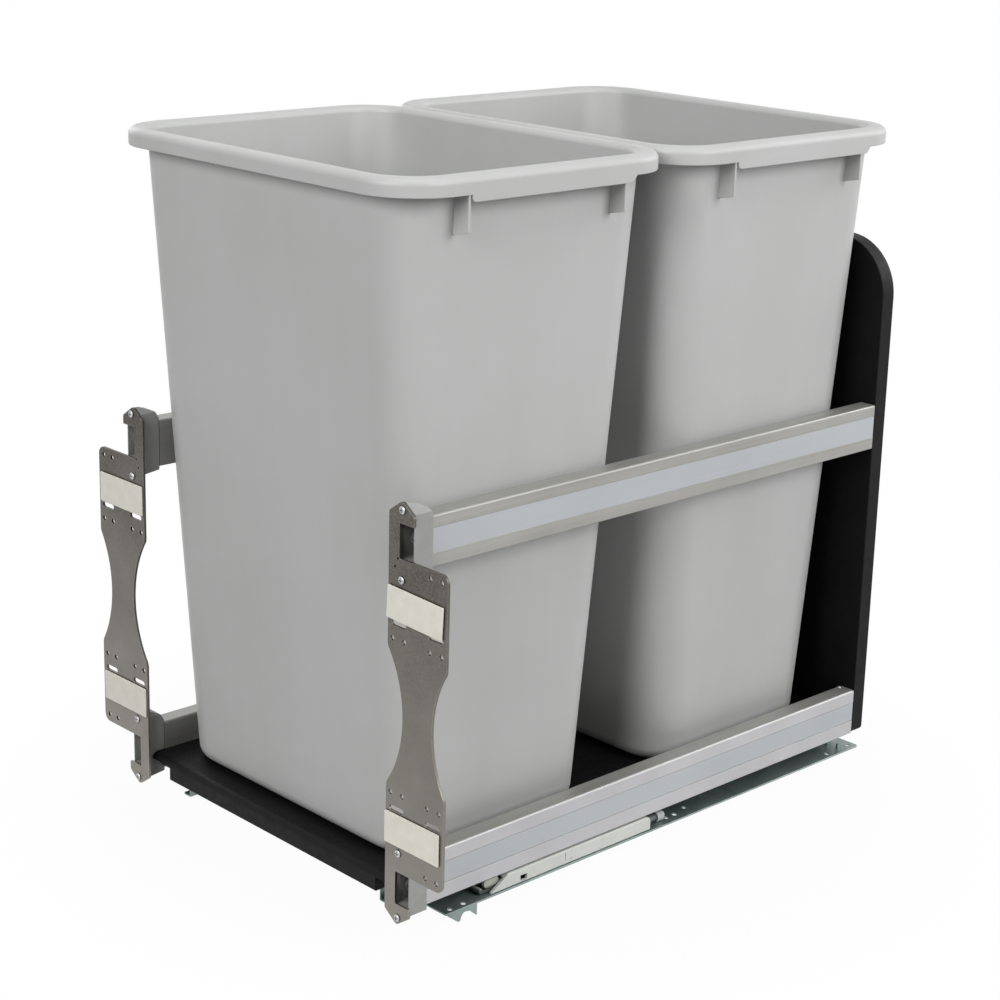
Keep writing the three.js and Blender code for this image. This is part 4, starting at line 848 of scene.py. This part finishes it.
def cove(radius, steps):
    """(inset, height) pairs of a quarter round between a floor and a wall."""
    angles = [math.pi / 2 * k / steps for k in range(steps + 1)]
    return [(radius * (1 - math.sin(angle)), radius * (1 - math.cos(angle))) for angle in angles]


# Levels from the middle of the base outside, up the wall, around the rim and down the wall inside.
WALL_SHARES = [0.12, 0.25, 0.4, 0.55, 0.7, 0.85]
SKIRT_LOW = BIN_HEIGHT - RIM_DROP
bin_profile = [
    *[wall_at(z, inset) for inset, z in cove(BASE_ROUND, 7)],
    *[wall_at(BIN_HEIGHT * share, 0) for share in WALL_SHARES],
    wall_at(BIN_HEIGHT - 4.4, 0),
    wall_at(BIN_HEIGHT - 2.9, -0.5),
    wall_at(BIN_HEIGHT - RIM_THICKNESS, -2),
    rim_at(3.6, BIN_HEIGHT - RIM_THICKNESS),
    rim_at(2.7, BIN_HEIGHT - 2.8),
    rim_at(RIM_THICKNESS, BIN_HEIGHT - 3.8),
    rim_at(RIM_THICKNESS, SKIRT_LOW + 0.4),
    rim_at(2.0, SKIRT_LOW),
    rim_at(0.5, SKIRT_LOW),
    rim_at(0.05, SKIRT_LOW + 0.5),
    *[rim_at(drop, BIN_HEIGHT - inset) for inset, drop in cove(6.0, 7)],
    *[wall_at(BIN_HEIGHT - drop, BIN_WALL - inset) for inset, drop in cove(5.0, 6)],
    *[wall_at(BIN_HEIGHT * share, BIN_WALL) for share in WALL_SHARES[::-1]],
    *[wall_at(BIN_FLOOR + z, BIN_WALL + inset) for inset, z in cove(BASE_ROUND - BIN_WALL, 6)[::-1]],
]
shell = bmesh.new()
rings = [[shell.verts.new(point) for point in bin_ring(*sizes)] for sizes in bin_profile]
for one, two in zip(rings, rings[1:]):
    for k in range(len(one)):
        after = (k + 1) % len(one)
        shell.faces.new((one[k], one[after], two[after], two[k]))
shell.faces.new(rings[0][::-1])
shell.faces.new(rings[-1])
bmesh.ops.recalc_face_normals(shell, faces=shell.faces)
shell_mesh = bpy.data.meshes.new("shell")
shell.to_mesh(shell_mesh)
shell.free()

FIN_Y, FIN_HALF, FIN_EDGE = 81, 1.1, RIM_X - 1.0
fin_top, fin_low = BIN_HEIGHT - 1.6, BIN_HEIGHT - 45.4
fin_face = rounded([
    (wall_at(fin_low, 1)[0], fin_low, 0.3), (FIN_EDGE, fin_low + 3.4, 0.8), (FIN_EDGE, fin_top - 3.4),
    (RIM_X - 3.5, fin_top), (wall_at(fin_top, 1)[0], fin_top),
])
fins = [extruded(fin_face, way * FIN_Y - FIN_HALF, way * FIN_Y + FIN_HALF, "Y", edge=0.35) for way in (-1, 1)]
GRIP_FRONT, GRIP_REAR = -79, 92.5
grip_low, grip_top = SKIRT_LOW - 5.5, SKIRT_LOW + 4
grip_face = rounded([
    (GRIP_FRONT, grip_low, 4), (GRIP_REAR - 5.5, grip_low, 2), (GRIP_REAR, SKIRT_LOW + 0.3, 1),
    (GRIP_REAR, grip_top), (GRIP_FRONT, grip_top),
])
grip = extruded(grip_face, RIM_X - RIM_THICKNESS, RIM_X - 0.02, "X", edge=0.45)
bin_side = together(*fins, grip)
tub_mesh = together(shell_mesh, bin_side, mirrored(bin_side))
for name, y in BINS.items():
    made = tub_mesh.copy()
    made.transform(Matrix.Translation((0, y, BIN_BOTTOM)))
    fitted(made, f"{name}_made", tub, name, [name], crease=40)


# --------------------------------------------------
# Ball slides
# Each slide is three zinc-plated steel members with two ball cages between them. The cabinet member has a
# flange with screw holes, prongs bent down at its front end and two posts behind. The drawer member is
# screwed to the board from below, and its arm carries the peg of the soft close.

SLIDE_X, FLANGE_OUTER, SHEET, CHANNEL_DEPTH = 137.6, 181.0, 1.2, 9.4
WEB_INNER, MOUTH_X = SLIDE_X + CHANNEL_DEPTH, SLIDE_X + 1.4
FLANGE_LOW, FLANGE_TOP, CHANNEL_TOP, CABINET_TOP = 9.5, 11.0, 22.0, 23.5
SLIDE_FRONT, SLIDE_REAR = -242.0, 277.0
DECK_BOTTOM, DECK_TOP = 24.8, 26.0

plated = Finish("passivated_zinc", metallic=0.65)
plated_spangle = plated.cells(55, out="Color")
plated_tone = plated.clouded(30, 4, paint(118, 134, 132), paint(150, 164, 162))
plated_tone = plated.mix(plated.level(plated_spangle, 0, 0.25, 0.2, 0.9), plated_tone, paint(168, 178, 176))
# Painted highlight: the edges of the plated parts are coloured lighter.
plated.colour(plated.mix(plated.edges(), plated_tone, paint(190, 196, 195)))
plated.uneven(260, 4, 0.26, 0.44)
plated.grain(800, 3, 0.02)

channel_section = rounded([
    (MOUTH_X, FLANGE_LOW, 0.3), (WEB_INNER + 1.5, FLANGE_LOW), (WEB_INNER + 1.5, CABINET_TOP, 1.4),
    (MOUTH_X, CABINET_TOP, 0.5), (MOUTH_X, CHANNEL_TOP - 1, 0.3), (MOUTH_X + SHEET, CHANNEL_TOP - 1, 0.3),
    (MOUTH_X + SHEET, CHANNEL_TOP), (WEB_INNER, CHANNEL_TOP, 0.7), (WEB_INNER, FLANGE_TOP, 0.7),
    (MOUTH_X + SHEET, FLANGE_TOP), (MOUTH_X + SHEET, FLANGE_TOP + 1, 0.3), (MOUTH_X, FLANGE_TOP + 1, 0.3),
], 4)
flange_plan = rounded([
    (WEB_INNER, SLIDE_FRONT), (FLANGE_OUTER, SLIDE_FRONT, 0.6), (FLANGE_OUTER, SLIDE_REAR, 3),
    (WEB_INNER, SLIDE_REAR),
], 6)
# Each hole is given by its distance from the flange's outer edge, its place along Y and its radius.
FLANGE_HOLES = (
    (5.5, -218.6, 2.2), (4.9, -233.5, 2), (8.7, 21.3, 2), (9.2, 32, 2.4), (13, 48.6, 2), (6, 238, 2),
    (7.2, 269.4, 2.2),
)
flange_holes = [circle(FLANGE_OUTER - inset, y, radius, 20) for inset, y, radius in FLANGE_HOLES]
prong_side = rounded([(SLIDE_FRONT + y, z, radius) for y, z, radius in (
    (0.5, 10.3, 0), (3, 7.9, 3), (13.3, 0, 1.6), (15.6, 0.1, 1.2), (16.6, 3.6, 3), (19.4, 6.9, 4),
    (25.8, 5.7, 4), (32.4, 0, 0.5), (33.5, 0, 0.4), (33.5, 10.3, 0),
)], 6)
POSTS = ((21, 256.7), (8.5, 256.8))
posts = [extruded(circle(FLANGE_OUTER - inset, y, 1.7, 18), 10.3, 15, "Z", edge=0.6, edge_steps=3)
         for inset, y in POSTS]
cabinet_member = worked(extruded(channel_section, SLIDE_FRONT, SLIDE_REAR, "Y", edge=0.12), [
    extruded(flange_plan, FLANGE_LOW, FLANGE_TOP, "Z", flange_holes, edge=0.3),
    extruded(prong_side, FLANGE_OUTER - 1.5, FLANGE_OUTER, "X", edge=0.25), *posts,
], "UNION")
both_sides(cabinet_member, "slide_cabinet_member", plated, "cabinet_side", crease=30)

# An I on its side: two plates with a web between them.
PLATE_HALF, WEB_HALF = 7.4, 0.6
member_section = rounded([(SLIDE_X + a, b, 0.5) for a, b in (
    (-PLATE_HALF, 14), (PLATE_HALF, 14), (PLATE_HALF, 15.2), (WEB_HALF, 15.2), (WEB_HALF, 17.8),
    (PLATE_HALF, 17.8), (PLATE_HALF, 19), (-PLATE_HALF, 19), (-PLATE_HALF, 17.8), (-WEB_HALF, 17.8),
    (-WEB_HALF, 15.2), (-PLATE_HALF, 15.2),
)], 4)
intermediate = extruded(member_section, -252, 262, "Y", edge=0.1)
both_sides(intermediate, "slide_intermediate_member", plated, "intermediate_{side}")

DRAWER_FACE, DRAWER_EDGE = SLIDE_X - CHANNEL_DEPTH, SLIDE_X - 1.4
DRAWER_BACK, DRAWER_LIP = DRAWER_FACE - SHEET, DRAWER_EDGE - SHEET
DECK_INNER = DRAWER_BACK - 21.5
PEG_X, PEG_Y, PEG_RADIUS, PEG_LOW = 168.0, -194.0, 2.5, 18.9
ARM_END, ARM_HALF = PEG_X + 5, 8
drawer_section = rounded([
    (DRAWER_BACK, FLANGE_TOP - SHEET, 1.2), (DRAWER_EDGE, FLANGE_TOP - SHEET, 0.5),
    (DRAWER_EDGE, FLANGE_TOP + 1, 0.3), (DRAWER_LIP, FLANGE_TOP + 1, 0.3), (DRAWER_LIP, FLANGE_TOP),
    (DRAWER_FACE, FLANGE_TOP, 0.6), (DRAWER_FACE, CHANNEL_TOP, 0.6), (DRAWER_LIP, CHANNEL_TOP),
    (DRAWER_LIP, CHANNEL_TOP - 1, 0.3), (DRAWER_EDGE, CHANNEL_TOP - 1, 0.3),
    (DRAWER_EDGE, CHANNEL_TOP + SHEET, 0.5), (DRAWER_FACE, CHANNEL_TOP + SHEET), (DRAWER_FACE, DECK_TOP, 0.6),
    (DECK_INNER, DECK_TOP, 0.3), (DECK_INNER, DECK_BOTTOM, 0.3), (DRAWER_BACK, DECK_BOTTOM, 0.6),
], 4)
peg_arm = rounded([
    (DRAWER_BACK, PEG_Y - ARM_HALF), (ARM_END, PEG_Y - ARM_HALF, 4), (ARM_END, PEG_Y + ARM_HALF, 4),
    (DRAWER_BACK, PEG_Y + ARM_HALF),
], 6)
drawer_member = worked(extruded(drawer_section, -264, 262, "Y", edge=0.1), [
    extruded(peg_arm, DECK_BOTTOM, DECK_TOP, "Z", edge=0.2),
    extruded(circle(PEG_X, PEG_Y, PEG_RADIUS, 24), PEG_LOW, DECK_BOTTOM + 0.6, "Z", edge=0.4),
], "UNION")
both_sides(drawer_member, "slide_drawer_member", plated, "drawer", crease=30)

# Four screws a side hold the board. Only their heads are made, because the board hides the shanks.
DECK_SCREW_X = 116
deck_screws = []
for y in (-225, -75, 75, 225):
    deck_screw = pan_screw(0, 0, 0, 3.4, 1.9, 1.6, 0.15)
    deck_place = Matrix.Translation((DECK_SCREW_X, y, DECK_BOTTOM - 0.05))
    deck_screw.transform(deck_place @ Matrix.Rotation(math.pi / 2, 4, "X"))
    deck_screws.append(deck_screw)
both_sides(together(*deck_screws), "slide_board_screws", zinc, "drawer", replaces=False)


# --------------------------------------------------
# Ball cages
# Folded steel strips that keep the balls apart, one on either side of the intermediate member. They travel
# at half the speed of the member beside them.

steel = Finish("bare_steel_cage", metallic=0.9)
steel.colour(steel.clouded(300, 3, paint(160, 162, 162), paint(190, 192, 191)))
steel.uneven(700, 3, 0.28, 0.45)
steel.grain(900, 2, 0.02)

LOWER_BALLS, UPPER_BALLS, BALL_RADIUS, BALL_X, BALLS = 12.5, 20.5, 1.3, 4.9, 12
CAGE_NEAR, CAGE_FAR, CAGE_INSIDE, CAGE_HALF = 3.0, 8.6, 7.8, 0.3
cage_low, cage_high = LOWER_BALLS - CAGE_HALF, UPPER_BALLS + CAGE_HALF
cage_corners = [
    (CAGE_NEAR, cage_low, 0.2), (CAGE_FAR, cage_low, 1.0),
    (CAGE_FAR, cage_high, 1.0), (CAGE_NEAR, cage_high, 0.2),
    (CAGE_NEAR, UPPER_BALLS - CAGE_HALF, 0.2), (CAGE_INSIDE, UPPER_BALLS - CAGE_HALF, 0.5),
    (CAGE_INSIDE, LOWER_BALLS + CAGE_HALF, 0.5), (CAGE_NEAR, LOWER_BALLS + CAGE_HALF, 0.2),
]
half_turn = [math.pi * step / 10 for step in range(11)]
for name, way, front, length in (("outer", 1, -100, 220), ("inner", -1, -112, 230)):
    cage_section = rounded([(SLIDE_X + way * a, b, radius) for a, b, radius in cage_corners], 4)
    parts = [extruded(cage_section, front, front + length, "Y", edge=0)]
    for z in (LOWER_BALLS, UPPER_BALLS):
        for k in range(BALLS):
            y = front + length / BALLS * (k + 0.5)
            arc = [(BALL_RADIUS * math.sin(angle), y - BALL_RADIUS * math.cos(angle)) for angle in half_turn]
            parts.append(turned(arc, SLIDE_X + way * BALL_X, z, 16))
    both_sides(together(*parts), f"{name}_ball_cage", steel, name + "_cage_{side}")


# --------------------------------------------------
# Soft close
# A pale moulded housing on each flange, its front cut back, with a window and an L pressed in its side. A
# dark damper ends behind it in a light ring. In front a hooked catch takes the peg and draws the drawer home.

HOUSING_X, DAMPER_X, DAMPER_Z = 170.5, 172.5, 16.5
HOUSING_FRONT, HOUSING_REAR, HOUSING_LOW, HOUSING_HALF = -192.0, -7.0, 11.3, 9
CAVITY_HALF, CAVITY_REAR, CAVITY_TOP = 6.6, -60, CABINET_TOP - 2.4
MARK_DEPTH_X, MARK_FRONT, MARK_LOW = HOUSING_X + 8.2, -110, 13.6

pale = Finish("pale_moulding")
pale.colour(pale.clouded(40, 3, paint(214, 217, 212), paint(224, 226, 221)))
pale.uneven(500, 3, 0.36, 0.5)
pale.grain(1600, 2, 0.04)

housing_section = rounded([
    (HOUSING_X - HOUSING_HALF, HOUSING_LOW, 0.6), (HOUSING_X + HOUSING_HALF, HOUSING_LOW, 0.6),
    (HOUSING_X + HOUSING_HALF, CABINET_TOP, 1.5), (HOUSING_X - HOUSING_HALF, CABINET_TOP, 1.5),
], 5)
housing_side = rounded([
    (HOUSING_FRONT, HOUSING_LOW - 1), (HOUSING_FRONT, HOUSING_LOW + 0.8, 0.5),
    (HOUSING_FRONT + 18.5, CABINET_TOP + 0.1, 2), (HOUSING_REAR, CABINET_TOP + 0.1, 5),
    (HOUSING_REAR, HOUSING_LOW - 1),
], 7)
housing = worked(
    worked(extruded(housing_section, HOUSING_FRONT - 1, HOUSING_REAR + 1, "Y", edge=0),
           [extruded(housing_side, HOUSING_X - 12, HOUSING_X + 12, "X", edge=0)], "INTERSECT"),
    [block(HOUSING_X - CAVITY_HALF, HOUSING_X + CAVITY_HALF, HOUSING_FRONT - 2, CAVITY_REAR, HOUSING_LOW - 1,
           CAVITY_TOP, edge=0.3),
     bored(DAMPER_X, DAMPER_Z, 4.3, CAVITY_REAR - 2, HOUSING_REAR + 2),
     block(HOUSING_X + 6, HOUSING_X + 10, -160, -152.5, HOUSING_LOW + 1.2, HOUSING_LOW + 6.2),
     block(MARK_DEPTH_X, HOUSING_X + 10, MARK_FRONT, MARK_FRONT + 1.5, MARK_LOW, MARK_LOW + 8, edge=0),
     block(MARK_DEPTH_X, HOUSING_X + 10, MARK_FRONT, MARK_FRONT + 9, MARK_LOW, MARK_LOW + 1.5, edge=0)],
)
both_sides(housing, "soft_close_housing", pale, "cabinet_side", crease=30)

dark = Finish("dark_moulding")
dark_tone = dark.clouded(60, 3, paint(92, 98, 99), paint(112, 118, 118))
tail = HOUSING_REAR + 12.5
ring_front = (RAIL_MIDDLE_Y * 1000 + tail - 0.1) / 1000
dark_share = dark.level(dark.along("Y"), 0, 1, ring_front, ring_front + 0.0001)
dark.colour(dark.mix(dark_share, dark_tone, paint(186, 190, 189)))
dark.uneven(500, 3, 0.3, 0.46)
dark.grain(1500, 2, 0.03)
barrel = turned([
    (0, HOUSING_REAR), (1.5, HOUSING_REAR), (1.5, -120), (3.4, -120), (4, -119.4), (4, HOUSING_REAR - 1),
    (3.8, HOUSING_REAR + 0.3), (3, HOUSING_REAR + 0.3), (3, HOUSING_REAR + 4), (3.4, HOUSING_REAR + 4.3),
    (3.4, HOUSING_REAR + 6.7), (3, HOUSING_REAR + 7), (3, tail - 0.3), (4.4, tail), (4.8, tail + 0.4),
    (4.8, tail + 2.2), (4.5, tail + 2.7), (4.5, tail + 4.9), (4.8, tail + 5.4), (4.8, tail + 7.6),
    (4.4, tail + 8), (3, tail + 8.5), (2.7, tail + 10), (0, tail + 10),
], DAMPER_X, DAMPER_Z, 32)
both_sides(barrel, "damper_barrel", dark, "cabinet_side", crease=30)

ROD_FRONT, ROD_REAR = -187, -60
rod = turned([
    (0, ROD_FRONT), (0.9, ROD_FRONT), (1.2, ROD_FRONT + 0.3), (1.2, ROD_REAR - 0.3), (0.9, ROD_REAR),
    (0, ROD_REAR),
], DAMPER_X, DAMPER_Z, 20)
both_sides(rod, "damper_rod", zinc, "catch_{side}")

CATCH_FRONT, CATCH_REAR, CATCH_TOP = -205.0, -177.0, 18.5
SEAT_FRONT, SEAT_REAR, SEAT_FLOOR = -198.5, -189.5, 14.9
HOOK_REAR, HOOK_TOP = CATCH_FRONT + 24, CATCH_TOP + 4.2
hooked = Finish("grey_green_catch")
hooked_tone = hooked.clouded(60, 3, paint(172, 178, 169), paint(190, 195, 185))
# Painted shade: the catch is coloured dark below 15.5 mm.
painted_shade_low = hooked.level(hooked.along("Z"), 1, 0, 0.0155, 0.0175)
hooked.colour(hooked.mix(painted_shade_low, hooked_tone, paint(70, 76, 73)))
hooked.uneven(500, 3, 0.36, 0.52)
hooked.grain(1500, 2, 0.04)
catch_side = rounded([
    (CATCH_FRONT + 4, HOUSING_LOW + 1.2, 1.5), (SEAT_FRONT + 2, HOUSING_LOW + 1.2, 1),
    (SEAT_REAR, HOUSING_LOW), (CATCH_REAR, HOUSING_LOW, 0.6), (CATCH_REAR, CATCH_TOP, 1),
    (SEAT_REAR, CATCH_TOP, 1), (SEAT_REAR, SEAT_FLOOR, 1.5), (SEAT_FRONT, SEAT_FLOOR, 1.5),
    (SEAT_FRONT, CATCH_TOP - 1.5, 1), (CATCH_FRONT + 3, CATCH_TOP - 1.5, 2.5),
], 6)
catch_hook = rounded([
    (SEAT_FRONT + 3, HOUSING_LOW + 4.6, 3), (HOOK_REAR, HOUSING_LOW + 1.4), (HOOK_REAR, HOOK_TOP, 2.4),
    (CATCH_FRONT + 8, HOOK_TOP, 4),
], 7)
catch = worked(
    worked(extruded(catch_side, HOUSING_X - 5, HOUSING_X + 5, "X", edge=0.3),
           [extruded(catch_hook, HOUSING_X + 1.8, HOUSING_X + 5, "X", edge=0.3)], "UNION"),
    [bored(DAMPER_X, DAMPER_Z, 1.5, ROD_FRONT - 0.3, CATCH_REAR + 1)],
)
both_sides(catch, "soft_close_catch", hooked, "catch_{side}", crease=30)
